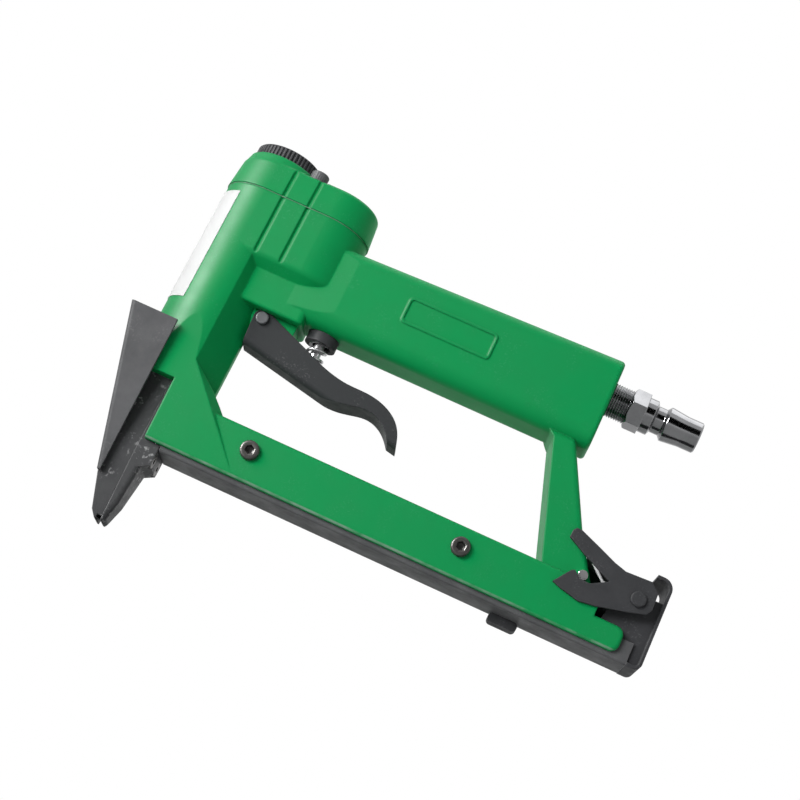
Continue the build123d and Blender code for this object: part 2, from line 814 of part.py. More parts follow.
with BuildPart() as sleeve_o_rings:
    for ring_z in sleeve_ring_places:
        with Locations((0, 0, ring_z)):
            Torus(sleeve_groove_radius + sleeve_ring_radius + ring_ease, sleeve_ring_radius)
sleeve_o_rings.part.label = "sleeve_o_rings"
export_step(sleeve_o_rings.part, "parts/sleeve_o_rings.step")

with BuildPart() as piston:
    upright(0, 0, piston_radius, piston_rest, piston_rest + piston_height)
    with BuildSketch(Plane.XY.offset(piston_ring_z - piston_ring_radius - running_fit)):
        Circle(piston_radius)
        Circle(piston_groove_radius, mode=Mode.SUBTRACT)
    extrude(amount=2 * (piston_ring_radius + running_fit), mode=Mode.SUBTRACT)
    block(
        -blade_thickness / 2, blade_thickness / 2, blade_half_width, piston_rest,
        blade_top, mode=Mode.SUBTRACT,
    )
piston.part.label = "piston"
export_step(piston.part, "parts/piston.step")

with BuildPart() as piston_ring:
    with Locations((0, 0, piston_ring_z)):
        Torus(piston_groove_radius + piston_ring_radius + ring_ease, piston_ring_radius)
piston_ring.part.label = "piston_ring"
export_step(piston_ring.part, "parts/piston_ring.step")

with BuildPart() as driver_blade:
    block(-blade_thickness / 2, blade_thickness / 2, blade_half_width, nose_tip_z + stroke, blade_top)
driver_blade.part.label = "driver_blade"
export_step(driver_blade.part, "parts/driver_blade.step")

with BuildPart() as bumper:
    upright(0, 0, sleeve_bore - running_fit, barrel_floor, bumper_top)
    block(
        -slot_half, slot_half, blade_half_width + free_gap, barrel_floor, bumper_top, mode=Mode.SUBTRACT
    )
bumper.part.label = "bumper"
export_step(bumper.part, "parts/bumper.step")

# Main valve, a cup with its spring inside
with BuildPart() as main_valve:
    upright(lobe_pitch, 0, main_bore - running_fit, main_floor, main_valve_top)
    upright(
        lobe_pitch, 0, main_valve_cup, main_floor + main_valve_wall, main_valve_top, mode=Mode.SUBTRACT
    )
    with BuildSketch(Plane.XY.offset(main_ring_z - main_ring_radius - running_fit)):
        with Locations((lobe_pitch, 0)):
            Circle(main_bore)
            Circle(main_groove_radius, mode=Mode.SUBTRACT)
    extrude(amount=2 * (main_ring_radius + running_fit), mode=Mode.SUBTRACT)
main_valve.part.label = "main_valve"
export_step(main_valve.part, "parts/main_valve.step")

with BuildPart() as main_valve_ring:
    with Locations((lobe_pitch, 0, main_ring_z)):
        Torus(main_groove_radius + main_ring_radius + ring_ease, main_ring_radius)
main_valve_ring.part.label = "main_valve_ring"
export_step(main_valve_ring.part, "parts/main_valve_ring.step")

with BuildPart() as main_valve_spring:
    upright(
        lobe_pitch, 0, main_spring_radius, main_floor + main_valve_wall, cap_bottom + cap_passage_depth
    )
    upright(lobe_pitch, 0, main_spring_radius - main_spring_wire, main_floor + main_valve_wall,
            cap_bottom + cap_passage_depth, mode=Mode.SUBTRACT)
main_valve_spring.part.label = "main_valve_spring"
export_step(main_valve_spring.part, "parts/main_valve_spring.step")

# Trigger valve and its stem
with BuildPart() as trigger_valve_body:
    upright(valve_axis_x, 0, valve_body_radius, valve_body_bottom, valve_body_top)
    upright(
        valve_axis_x, 0, stem_radius + running_fit, valve_body_bottom, valve_body_top, mode=Mode.SUBTRACT
    )
    upright(
        valve_axis_x, 0, spring_mean_radius + spring_wire / 2 + free_gap,
        valve_body_bottom, spring_top, mode=Mode.SUBTRACT,
    )
trigger_valve_body.part.label = "trigger_valve_body"
export_step(trigger_valve_body.part, "parts/trigger_valve_body.step")

with BuildPart() as valve_stem:
    upright(valve_axis_x, 0, stem_radius, stem_foot_seat, valve_body_top)
    upright(valve_axis_x, 0, stem_foot_radius, stem_foot_bottom, spring_bottom)
    fillet(edges().filter_by(GeomType.CIRCLE).sort_by(Axis.Z)[0], stem_tip_round)
valve_stem.part.label = "valve_stem"
export_step(valve_stem.part, "parts/valve_stem.step")


# Trigger spring: one wire, wound from a straight end to a straight end
def helix_point(turn):
    """A point of the wound part, counted in turns from its lower end, with its direction."""
    angle = 2 * math.pi * turn
    rise = spring_pitch / (2 * math.pi)
    point = Vector(
        valve_axis_x + spring_mean_radius * math.cos(angle),
        spring_mean_radius * math.sin(angle),
        spring_bottom + spring_end_rise + spring_pitch * turn,
    )
    direction = Vector(-spring_mean_radius * math.sin(angle), spring_mean_radius * math.cos(angle), rise)
    return point, direction.normalized()


def biarc(start, start_direction, end, end_direction):
    """Two arcs that leave and arrive in the given directions."""
    span = end - start
    both = start_direction + end_direction
    lean = 2 * (1 - start_direction.dot(end_direction))
    along = span.dot(both)
    reach = (-along + math.sqrt(along * along + lean * span.dot(span))) / lean
    first_knot = start + start_direction * reach
    second_knot = end - end_direction * reach
    middle = (first_knot + second_knot) * 0.5
    TangentArc(start, middle, tangent=start_direction)
    TangentArc(middle, end, tangent=second_knot - first_knot)


spring_end_height = spring_wire
spring_knots = [turn / 4 for turn in range(round(4 * spring_turns) + 1)]
first_point, first_direction = helix_point(spring_knots[0])
last_point, last_direction = helix_point(spring_knots[-1])
upwards = Vector(0, 0, 1)
end_run = spring_end_rise - spring_end_height
lower_bend = first_point - first_direction * end_run - upwards * end_run
upper_bend = last_point + last_direction * end_run + upwards * end_run
lower_end = Vector(lower_bend.X, lower_bend.Y, spring_bottom)
upper_end = Vector(upper_bend.X, upper_bend.Y, spring_top)

with BuildPart() as trigger_spring:
    with BuildLine() as spring_path:
        Line(lower_end, lower_bend)
        biarc(lower_bend, upwards, first_point, first_direction)
        for turn_start, turn_end in zip(spring_knots, spring_knots[1:]):
            biarc(*helix_point(turn_start), *helix_point(turn_end))
        biarc(last_point, last_direction, upper_bend, upwards)
        Line(upper_bend, upper_end)
    with BuildSketch(Plane(lower_end, z_dir=(0, 0, 1))):
        Circle(spring_wire / 2)
    sweep(path=spring_path.wire())
trigger_spring.part.label = "trigger_spring"
export_step(trigger_spring.part, "parts/trigger_spring.step")

spring_samples = [spring_path.wire().position_at(step / 400) for step in range(401)]
spring_step = spring_path.wire().length / 400
skipped = math.ceil(math.pi * spring_wire / spring_step)
spring_gap = min(
    (first - second).length - spring_wire
    for index, first in enumerate(spring_samples)
    for second in spring_samples[index + skipped:]
)
print(f"trigger spring: least gap between its turns {spring_gap:.2f} mm")


# Trigger: a pressed channel with its web towards the finger
trigger_front_x = barrel_radius + trigger_front_gap
trigger_pocket_rear = trigger_pin_x + trigger_pocket_run


def trigger_outline(shift_x, shift_z):
    """The trigger's side view, moved by the given amounts."""
    def at(x, z):
        return (trigger_pin_x + x + shift_x, trigger_pin_z + z + shift_z)

    with BuildSketch(Plane.XZ) as outline:
        with BuildLine():
            round_end = ThreePointArc(
                at(-trigger_end_round, 0),
                at(-0.7 * trigger_end_round, 0.714 * trigger_end_round),
                at(0.37 * trigger_end_round, 0.929 * trigger_end_round),
            )
            back = Line(round_end @ 1, at(*trigger_back_end))
            tail = Spline(back @ 1, *[at(*point) for point in trigger_tail_points])
            tip = ThreePointArc(tail @ 1, at(*trigger_tip_middle), at(*trigger_tip_end))
            finger = Spline(tip @ 1, *[at(*point) for point in trigger_finger_points])
            front = Line(finger @ 1, at(trigger_front_x - trigger_pin_x, -trigger_front_drop))
            Line(front @ 1, round_end @ 0)
        make_face()
    return outline.sketch


trigger_web_front = Vector(trigger_front_x, 0, trigger_pin_z - trigger_front_drop)
trigger_web_rear = Vector(
    trigger_pin_x + trigger_finger_points[-1][0], 0, trigger_pin_z + trigger_finger_points[-1][1]
)
trigger_web_plane = Plane(
    origin=trigger_web_front, x_dir=(0, 1, 0), z_dir=trigger_web_rear - trigger_web_front
)

with BuildPart() as trigger:
    extrude(trigger_outline(0, 0), amount=trigger_half_width, both=True)
    with BuildSketch(trigger_web_plane) as web_section:
        with Locations((0, trigger_pin_z / 2)):
            Rectangle(2 * trigger_half_width, trigger_pin_z)
        fillet(web_section.vertices().group_by(Axis.Z)[0], trigger_edge_round)
    extrude(amount=trigger_pin_z, both=True, mode=Mode.INTERSECT)
    with BuildSketch(Plane.XZ):
        add(trigger_outline(*trigger_web_shift))
        with Locations((trigger_pocket_rear / 2, trigger_pin_z)):
            Rectangle(trigger_pocket_rear, 2 * trigger_pin_z, mode=Mode.INTERSECT)
    extrude(amount=trigger_half_width - sheet, both=True, mode=Mode.SUBTRACT)
    block(
        0, lug_rear, trigger_half_width - sheet, lug_bottom - overrun,
        block_bottom + trigger_end_round, mode=Mode.SUBTRACT,
    )
    crosswise(
        trigger_pin_x, trigger_pin_z, trigger_pin_radius + running_fit,
        -trigger_half_width - overrun, trigger_half_width + overrun, mode=Mode.SUBTRACT,
    )
trigger.part.label = "trigger"
export_step(trigger.part, "parts/trigger.step")

with BuildPart() as trigger_pin:
    crosswise(trigger_pin_x, trigger_pin_z, trigger_pin_radius, -trigger_half_width - slide_gap,
              trigger_half_width + trigger_pin_head_height)
    crosswise(trigger_pin_x, trigger_pin_z, trigger_pin_head,
              -trigger_half_width - slide_gap - trigger_pin_head_height, -trigger_half_width - slide_gap)
    fillet(faces().sort_by(Axis.Y)[0].edges(), pin_head_round)
trigger_pin.part.label = "trigger_pin"
export_step(trigger_pin.part, "parts/trigger_pin.step")

# Air plug, turned about its own axis
plug_axis = Axis((grip_rear, 0, plug_axis_z), (1, 0, 0))
plug_plane = Plane(origin=(grip_rear, 0, plug_axis_z), x_dir=(1, 0, 0), z_dir=(0, -1, 0))
thread_ridges = round(plug_hex_gap / plug_thread_pitch)
thread_line = []
for ridge in range(thread_ridges):
    start = plug_hex_gap * ridge / thread_ridges
    thread_line.append((start, plug_thread_radius - plug_thread_depth))
    thread_line.append((start + plug_hex_gap / thread_ridges / 2, plug_thread_radius))
hex_end = plug_hex_gap + plug_hex_length

with BuildPart() as air_plug:
    with BuildSketch(plug_plane):
        with BuildLine():
            Polyline(
                (plug_stop_gap - inlet_depth, plug_bore),
                (plug_stop_gap - inlet_depth, plug_thread_radius),
                (-plug_thread_pitch, plug_thread_radius),
                *thread_line,
                (plug_hex_gap, plug_thread_radius - plug_thread_depth),
                (hex_end, plug_shoulder_radius),
                (hex_end + plug_shoulder_length, plug_shoulder_radius),
                (hex_end + plug_shoulder_length + plug_shoulder_slope, plug_neck_radius),
                (plug_collar_start - plug_collar_slope, plug_neck_radius),
                (plug_collar_start, plug_collar_radius),
                (plug_collar_start + plug_collar_flat, plug_collar_radius),
                (plug_length - plug_land, plug_tip_radius),
                (plug_length - plug_tip_bevel, plug_tip_radius),
                (plug_length, plug_tip_radius - plug_tip_bevel),
                (plug_length, plug_bore),
                close=True,
            )
        make_face()
    revolve(axis=plug_axis)
    with BuildSketch(Plane.YZ.offset(grip_rear + plug_hex_gap)):
        with Locations((0, plug_axis_z)):
            RegularPolygon(plug_hex_across / math.sqrt(3), 6)
            Circle(plug_bore, mode=Mode.SUBTRACT)
    extrude(amount=plug_hex_length)
    with BuildSketch(plug_plane):
        with BuildLine():
            Polyline(
                (plug_hex_gap, plug_hex_across / 2 - plug_hex_bevel_inset),
                (plug_hex_gap + plug_hex_bevel, plug_hex_across / math.sqrt(3)),
                (plug_hex_gap + plug_hex_bevel, plug_hex_across),
                (plug_hex_gap, plug_hex_across),
                close=True,
            )
            Polyline(
                (hex_end, plug_hex_across / 2 - plug_hex_bevel_inset),
                (hex_end - plug_hex_bevel, plug_hex_across / math.sqrt(3)),
                (hex_end - plug_hex_bevel, plug_hex_across),
                (hex_end, plug_hex_across),
                close=True,
            )
        make_face()
    revolve(axis=plug_axis, mode=Mode.SUBTRACT)
air_plug.part.label = "air_plug"
export_step(air_plug.part, "parts/air_plug.step")

# Nose, in two halves with the drive slot between them
def guard_at(z, bottom, top):
    """A measure of the guard at a height, between its values at the bottom and the top."""
    return bottom + (top - bottom) * (z - guard_bottom) / (guard_top - guard_bottom)


guard_lean = math.atan2(guard_front_bottom - guard_front_top, guard_top - guard_bottom)
guard_web = sheet / math.cos(guard_lean)
guard_splay = math.atan2(guard_half_top - guard_half_bottom, guard_top - guard_bottom)
guard_flange = sheet / math.cos(guard_splay)
shelf_low = guard_bottom
shelf_high = guard_bottom + guard_seat_height


def narrow_nose():
    """Trims a nose half to its front view, which narrows towards the tip."""
    with BuildSketch(Plane.YZ.offset(-barrel_radius)) as outline:
        with BuildLine():
            Polyline(
                (-nose_tip_half_width, nose_tip_z),
                (nose_tip_half_width, nose_tip_z),
                (nose_half_width, nose_shoulder),
                (nose_half_width, barrel_bottom),
                (-nose_half_width, barrel_bottom),
                (-nose_half_width, nose_shoulder),
                close=True,
            )
        make_face()
    extrude(outline.sketch, amount=2 * barrel_radius, mode=Mode.INTERSECT)


with BuildPart() as nose_front_plate:
    side_profile(
        [
            (slot_half, nose_tip_z),
            (-slot_half - nose_tip_flat, nose_tip_z),
            (nose_chin[0], nose_chin[1]),
            (guard_front_bottom + slide_gap, guard_bottom - slide_gap),
            (guard_at(shelf_low, guard_front_bottom, guard_front_top) + guard_web, shelf_low),
            (guard_at(shelf_high, guard_front_bottom, guard_front_top) + guard_web, shelf_high),
            (nose_front_x, shelf_high + nose_shelf_rise),
            (nose_front_x, barrel_bottom),
            (slot_half, barrel_bottom),
        ],
        nose_half_width,
    )
    narrow_nose()
    block(
        -slot_half, slot_half, blade_half_width + free_gap, nose_tip_z, barrel_bottom, mode=Mode.SUBTRACT
    )
    block(
        -slot_half, slot_half, nose_half_width, nose_tip_z, nose_tip_z + nose_notch, mode=Mode.SUBTRACT
    )
    for side in (-1, 1):
        lengthwise(
            side * nose_screw_y, nose_screw_high, nose_shank, nose_front_x, slot_half, mode=Mode.SUBTRACT
        )
        lengthwise(side * nose_screw_y, nose_screw_low, nose_shank, -nose_screw_reach, slot_half,
                   mode=Mode.SUBTRACT)
    guard_screw_seat = Plane(
        origin=(guard_at(guard_screw_z, guard_front_bottom, guard_front_top), 0, guard_screw_z),
        x_dir=(0, 1, 0),
        z_dir=(-math.cos(guard_lean), 0, -math.sin(guard_lean)),
    )
    with BuildSketch(guard_screw_seat):
        Circle(nose_shank)
    extrude(amount=-guard_screw_length, mode=Mode.SUBTRACT)
nose_front_plate.part.label = "nose_front_plate"
export_step(nose_front_plate.part, "parts/nose_front_plate.step")

with BuildPart() as nose_back_plate:
    side_profile(
        [
            (slot_half, nose_tip_z),
            (slot_half + nose_tip_flat, nose_tip_z),
            (slot_half + nose_tip_swell, nose_tip_z + nose_tip_rise),
            nose_heel,
            nose_calf,
            (nose_block_rear, nose_block_bottom),
            (nose_block_rear, rail_bottom),
            (rail_front, rail_bottom),
            (rail_front, barrel_bottom),
            (slot_half, barrel_bottom),
        ],
        nose_half_width,
    )
    narrow_nose()
    nose_edges = edges().filter_by(
        lambda edge: nose_tip_rise < edge.center().Z < nose_calf[1] and edge.center().X > nose_tip_swell
    )
    fillet(nose_edges.filter_by(lambda edge: abs(edge.center().Y) > nose_round), nose_round)
    block(
        0, nose_block_rear + overrun, guide_slot_half, channel_floor,
        rail_ceiling - guide_roof, mode=Mode.SUBTRACT,
    )
    for side in (-1, 1):
        lengthwise(
            side * nose_screw_y, nose_screw_high, nose_shank, slot_half, rail_front, mode=Mode.SUBTRACT
        )
        lengthwise(
            side * nose_screw_y, nose_screw_low, nose_shank, slot_half, nose_block_rear,
            mode=Mode.SUBTRACT,
        )
        lengthwise(
            side * nose_screw_y, nose_screw_low, nose_head + slide_gap,
            nose_block_rear - nose_head_height, nose_block_rear + overrun, mode=Mode.SUBTRACT,
        )
nose_back_plate.part.label = "nose_back_plate"
export_step(nose_back_plate.part, "parts/nose_back_plate.step")

with BuildPart() as nose_screws:
    for side in (-1, 1):
        high_seat = Plane(origin=(nose_front_x, side * nose_screw_y, nose_screw_high), z_dir=(-1, 0, 0))
        socket_screw(high_seat, nose_head, nose_head_height, nose_shank,
                     rail_front + nose_screw_bite - nose_front_x, nose_socket)
        low_seat = Plane(
            origin=(nose_block_rear - nose_head_height, side * nose_screw_y, nose_screw_low),
            z_dir=(1, 0, 0),
        )
        socket_screw(low_seat, nose_head, nose_head_height, nose_shank,
                     nose_block_rear - nose_head_height + nose_screw_reach, nose_socket)
nose_screws.part.label = "nose_screws"
export_step(nose_screws.part, "parts/nose_screws.step")

# Nose guard, a folded hood that is open behind and above
with BuildPart() as nose_guard:
    for z in (guard_bottom, guard_top):
        front = guard_at(z, guard_front_bottom, guard_front_top)
        rear = guard_at(z, guard_rear_bottom, guard_rear_top)
        with BuildSketch(Plane.XY.offset(z)):
            with Locations(((front + rear) / 2, 0)):
                Rectangle(rear - front, 2 * guard_at(z, guard_half_bottom, guard_half_top))
    loft(ruled=True)
    long_edge = 0.9 * (guard_top - guard_bottom)
    guard_fold = edges().filter_by(lambda edge: edge.length > long_edge).group_by(Axis.X)[0]
    fillet(guard_fold, guard_round)
    for z in (guard_bottom - overrun, guard_top + overrun):
        front = guard_at(z, guard_front_bottom, guard_front_top) + guard_web
        rear = barrel_radius
        with BuildSketch(Plane.XY.offset(z)):
            with Locations(((front + rear) / 2, 0)):
                Rectangle(rear - front, 2 * (guard_at(z, guard_half_bottom, guard_half_top) - guard_flange))
    loft(ruled=True, mode=Mode.SUBTRACT)
    for reach, radius in ((0, guard_screw_head), (-sheet, nose_shank)):
        with BuildSketch(guard_screw_seat.offset(reach)):
            Circle(radius)
    loft(mode=Mode.SUBTRACT)
nose_guard.part.label = "nose_guard"
export_step(nose_guard.part, "parts/nose_guard.step")

with BuildPart() as guard_screw:
    for reach, radius in ((0, guard_screw_head), (-sheet, nose_shank)):
        with BuildSketch(guard_screw_seat.offset(reach)):
            Circle(radius)
    loft()
    with BuildSketch(guard_screw_seat.offset(-sheet)):
        Circle(nose_shank)
    extrude(amount=sheet - guard_screw_length)
    with BuildSketch(guard_screw_seat):
        RegularPolygon(nose_socket / math.sqrt(3), 6)
    extrude(amount=-sheet, mode=Mode.SUBTRACT)
guard_screw.part.label = "guard_screw"
export_step(guard_screw.part, "parts/guard_screw.step")

# Fixed nail guide and the screws that hold it in the rail
with BuildPart() as guide_rail:
    block(rail_front, guide_rear, rail_inner, guide_bottom, rail_ceiling)
    block(
        rail_front, guide_rear, guide_slot_half, guide_bottom,
        rail_ceiling - guide_roof, mode=Mode.SUBTRACT,
    )
    for side in (-1, 1):
        for screw_x in (rail_screw_front_x, rail_screw_rear_x):
            crosswise(screw_x, rail_screw_z, small_shank, side * (rail_half_width - rail_screw_length),
                      side * rail_half_width, mode=Mode.SUBTRACT)
guide_rail.part.label = "guide_rail"
export_step(guide_rail.part, "parts/guide_rail.step")

with BuildPart() as rail_screws:
    for side in (-1, 1):
        for screw_x in (rail_screw_front_x, rail_screw_rear_x):
            seat = Plane(origin=(screw_x, side * rail_half_width, rail_screw_z), z_dir=(0, side, 0))
            socket_screw(
                seat, small_head, rail_head_height, small_shank, rail_screw_length, small_socket
            )
rail_screws.part.label = "rail_screws"
export_step(rail_screws.part, "parts/rail_screws.step")

# Sliding magazine
with BuildPart() as magazine_channel:
    block(channel_front, channel_rear, channel_half, channel_bottom, channel_top)
    fillet(edges().filter_by(Axis.X).group_by(Axis.Z)[0], channel_round)
    block(channel_front, channel_rear, channel_inner, channel_floor, channel_top, mode=Mode.SUBTRACT)
magazine_channel.part.label = "magazine_channel"
export_step(magazine_channel.part, "parts/magazine_channel.step")

with BuildPart() as end_bracket:
    with BuildSketch(Plane.XZ):
        with BuildLine():
            outside = FilletPolyline(
                (channel_rear, channel_bottom),
                (bracket_rear, channel_bottom),
                (bracket_rear, bracket_lip_top),
                (bracket_lip_front, bracket_lip_top),
                radius=[bracket_foot_round, bracket_lip_round],
            )
            inside = FilletPolyline(
                (bracket_lip_front, bracket_lip_top - sheet),
                (bracket_rear - sheet, bracket_lip_top - sheet),
                (bracket_rear - sheet, channel_floor),
                (channel_rear, channel_floor),
                radius=[bracket_lip_round - sheet, bracket_foot_round - sheet],
            )
            Line(outside @ 1, inside @ 0)
            Line(inside @ 1, outside @ 0)
        make_face()
    extrude(amount=channel_half, both=True)
    side_plates(
        [
            (bracket_front, channel_floor),
            (bracket_front, ear_top + free_gap),
            (bracket_front + bracket_slant, bracket_top),
            (bracket_rear - sheet / 2, bracket_top),
            (bracket_rear - sheet / 2, channel_bottom + bracket_foot_round),
            (bracket_rear - bracket_foot_round, channel_bottom + sheet / 2),
            (channel_rear, channel_bottom + sheet / 2),
            (channel_rear, channel_floor),
        ],
        channel_inner - sheet,
        channel_inner,
    )
    crosswise(
        latch_pivot_x, latch_pivot_z, latch_rivet_radius, -channel_half, channel_half, mode=Mode.SUBTRACT
    )
end_bracket.part.label = "end_bracket"
export_step(end_bracket.part, "parts/end_bracket.step")

with BuildPart() as stop_tab:
    with BuildSketch(Plane.XZ.offset(-tab_outer)) as tab_face:
        with Locations((tab_front + tab_length / 2, channel_bottom - tab_drop / 2)):
            Rectangle(tab_length, tab_drop)
        fillet(tab_face.vertices().group_by(Axis.Z)[0], tab_round)
    extrude(amount=tab_outer - tab_inner)
stop_tab.part.label = "stop_tab"
export_step(stop_tab.part, "parts/stop_tab.step")

# Pusher with its rolled ribbon spring
with BuildPart() as pusher:
    block(
        pusher_rear - pusher_length, pusher_rear, channel_inner - slide_gap,
        channel_floor, guide_bottom - slide_gap,
    )
    block(pusher_rear - pusher_length, roll_front, guide_slot_half - slide_gap, channel_floor,
          rail_ceiling - guide_roof - free_gap)
    block(
        roll_front, pusher_rear, roll_half_width + slide_gap, channel_floor,
        guide_bottom, mode=Mode.SUBTRACT,
    )
    crosswise(roll_x, roll_z, roll_pin_radius, -channel_inner, channel_inner, mode=Mode.SUBTRACT)
pusher.part.label = "pusher"
export_step(pusher.part, "parts/pusher.step")

with BuildPart() as feed_spring:
    crosswise(roll_x, roll_z, roll_radius, -roll_half_width, roll_half_width)
    crosswise(
        roll_x, roll_z, roll_pin_radius + running_fit, -roll_half_width,
        roll_half_width, mode=Mode.SUBTRACT,
    )
feed_spring.part.label = "feed_spring"
export_step(feed_spring.part, "parts/feed_spring.step")

with BuildPart() as feed_spring_pin:
    crosswise(roll_x, roll_z, roll_pin_radius, slide_gap - channel_inner, channel_inner - slide_gap)
feed_spring_pin.part.label = "feed_spring_pin"
export_step(feed_spring_pin.part, "parts/feed_spring_pin.step")

# Latch: two hook plates joined by a thumb web
def from_pivot(points):
    """Points of the latch, moved to where its pivot is."""
    return [(latch_pivot_x + x, latch_pivot_z + z) for x, z in points]


latch_mouth_top = latch_pin_z - latch_pin_radius - free_gap
latch_mouth = [
    (latch_pin_x - latch_pin_radius - free_gap, latch_pivot_z - latch_mouth_step),
    (latch_pivot_x + latch_mouth_front, latch_mouth_top),
    (latch_pivot_x + latch_mouth_rear, latch_mouth_top),
]
latch_web = from_pivot(latch_web_line)
latch_plate = from_pivot(latch_hook_points) + latch_mouth + from_pivot(latch_arm_points)
latch_plate += latch_web[1:-1] + from_pivot(latch_heel_points)
with BuildPart() as latch:
    side_plates(latch_plate, latch_inner, latch_outer)
    side_profile(
        latch_web + [(x, z - sheet) for x, z in reversed(latch_web)],
        latch_inner + sheet / 2,
    )
    crosswise(latch_pivot_x, latch_pivot_z, latch_rivet_radius + running_fit, -latch_outer, latch_outer,
              mode=Mode.SUBTRACT)
latch.part.label = "latch"
export_step(latch.part, "parts/latch.step")

with BuildPart() as latch_rivet:
    crosswise(latch_pivot_x, latch_pivot_z, latch_rivet_radius, -latch_outer - rivet_head_height,
              latch_outer + rivet_head_height)
    for side in (-1, 1):
        crosswise(latch_pivot_x, latch_pivot_z, latch_rivet_head, side * (latch_outer + slide_gap),
                  side * (latch_outer + rivet_head_height))
        crosswise(
            latch_pivot_x, latch_pivot_z, latch_shoulder, side * channel_inner,
            side * (latch_inner - slide_gap),
        )
    fillet(faces().sort_by(Axis.Y)[0].edges() + faces().sort_by(Axis.Y)[-1].edges(), pin_head_round)
latch_rivet.part.label = "latch_rivet"
export_step(latch_rivet.part, "parts/latch_rivet.step")

with BuildPart() as latch_pins:
    for side in (-1, 1):
        crosswise(
            latch_pin_x, latch_pin_z, latch_pin_radius,
            side * (strut_half_width - latch_pin_depth), side * (latch_inner - free_gap),
        )
latch_pins.part.label = "latch_pins"
export_step(latch_pins.part, "parts/latch_pins.step")

with BuildPart() as latch_spring:
    with BuildLine(Plane.XZ.offset(latch_spring_y)) as latch_spring_path:
        leg = FilletPolyline(
            *from_pivot([latch_spring_tip, latch_spring_knee, (0, -latch_loop_radius)]),
            radius=latch_spring_bend,
        )
        ThreePointArc(
            leg @ 1,
            (latch_pivot_x + latch_loop_radius, latch_pivot_z),
            (latch_pivot_x, latch_pivot_z + latch_loop_radius),
        )
    with BuildSketch(Plane(leg @ 0, z_dir=leg % 0)):
        Circle(latch_spring_wire)
    sweep(path=latch_spring_path.wire())
latch_spring.part.label = "latch_spring"
export_step(latch_spring.part, "parts/latch_spring.step")

# Blank label round the front of the barrel
with BuildPart() as label:
    with BuildSketch(Plane.XY.offset(label_bottom)):
        with BuildLine():
            outer = CenterArc(
                (0, 0), barrel_radius + label_thickness, 180 - label_half_angle, 2 * label_half_angle
            )
            inner = CenterArc((0, 0), barrel_radius, 180 - label_half_angle, 2 * label_half_angle)
            Line(outer @ 0, inner @ 0)
            Line(outer @ 1, inner @ 1)
        make_face()
    extrude(amount=label_top - label_bottom)
label.part.label = "label"
export_step(label.part, "parts/label.step")
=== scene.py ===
"""Looks of a pneumatic picture frame nailer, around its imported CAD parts. Lengths are in metres."""
import bmesh
import bpy
import json
import math
from mathutils import Matrix, Vector


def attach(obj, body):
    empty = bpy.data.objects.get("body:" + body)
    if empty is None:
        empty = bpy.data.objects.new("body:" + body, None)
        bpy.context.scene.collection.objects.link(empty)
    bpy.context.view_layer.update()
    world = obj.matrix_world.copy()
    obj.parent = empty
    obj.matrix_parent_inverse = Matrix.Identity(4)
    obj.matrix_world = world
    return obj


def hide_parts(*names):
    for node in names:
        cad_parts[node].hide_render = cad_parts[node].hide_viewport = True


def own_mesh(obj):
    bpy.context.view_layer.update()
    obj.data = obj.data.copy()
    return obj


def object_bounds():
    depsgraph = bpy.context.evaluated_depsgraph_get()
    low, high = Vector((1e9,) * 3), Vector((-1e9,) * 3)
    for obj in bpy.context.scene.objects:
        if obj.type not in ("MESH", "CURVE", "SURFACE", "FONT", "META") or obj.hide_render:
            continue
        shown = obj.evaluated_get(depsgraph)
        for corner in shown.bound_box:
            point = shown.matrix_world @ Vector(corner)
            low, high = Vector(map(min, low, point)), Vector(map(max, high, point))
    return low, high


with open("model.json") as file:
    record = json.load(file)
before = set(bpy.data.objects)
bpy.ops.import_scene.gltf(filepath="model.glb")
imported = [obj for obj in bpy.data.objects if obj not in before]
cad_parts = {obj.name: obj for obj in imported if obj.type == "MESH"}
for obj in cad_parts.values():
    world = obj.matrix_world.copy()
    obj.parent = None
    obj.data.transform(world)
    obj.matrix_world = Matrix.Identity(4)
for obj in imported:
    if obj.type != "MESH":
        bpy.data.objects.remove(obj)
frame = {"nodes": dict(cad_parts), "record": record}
cad_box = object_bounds()
nodes = frame["nodes"]

# Camera at the photograph's angle: below the tool, a little to its rear, and rolled
camera_place = Vector((0.1336, -0.58782, -0.09610))
camera_target = Vector((0.0770, 0.0, 0.0867))
camera_roll = math.radians(25.861)
camera_lens = 76.5
camera_sensor = 36.0
camera_clip_start = 0.01

# Floor: just under the muzzle; its paper turns white between two distances from the tool
floor_gap = 0.0005
floor_half_width = 3.0
paper_near = 0.25
paper_far = 1.00

# Dark card behind the camera
card_half_width = 2.2
card_distance = 2.6
card_bottom = -1.5
card_top = 2.2

sheet_roughness = 0.9
surround_light = 0.22   # the surround's light on the tool, where its white in view is 1

# Colours, as the shader takes them
green = (0.001, 0.300, 0.080, 1)
deep_green = (0.001, 0.240, 0.062, 1)
# Lighter green for scuffs, and for edges, where it is partly wear and partly painted highlight.
wear_and_highlight_green = (0.030, 0.330, 0.130, 1)
# Pale green painted along the rail's lower edges as a highlight.
edge_highlight_green = (0.210, 0.370, 0.260, 1)
black_oxide = (0.054, 0.055, 0.059, 1)
oxide_shade = (0.030, 0.031, 0.034, 1)
oxide_edge = (0.150, 0.150, 0.156, 1)
oxide_scuff = (0.260, 0.260, 0.265, 1)
# Darker than black_oxide: painted shade for the trigger, which lies in the grip's shade.
trigger_black = (0.040, 0.043, 0.045, 1)
nose_grey = (0.078, 0.079, 0.082, 1)
nose_shade = (0.040, 0.041, 0.044, 1)
nose_edge = (0.300, 0.300, 0.305, 1)
nose_rub = (0.420, 0.420, 0.425, 1)
hood_grey = (0.125, 0.126, 0.131, 1)
hood_shade = (0.074, 0.075, 0.079, 1)
screw_dark = (0.100, 0.096, 0.092, 1)
screw_shade = (0.030, 0.029, 0.028, 1)
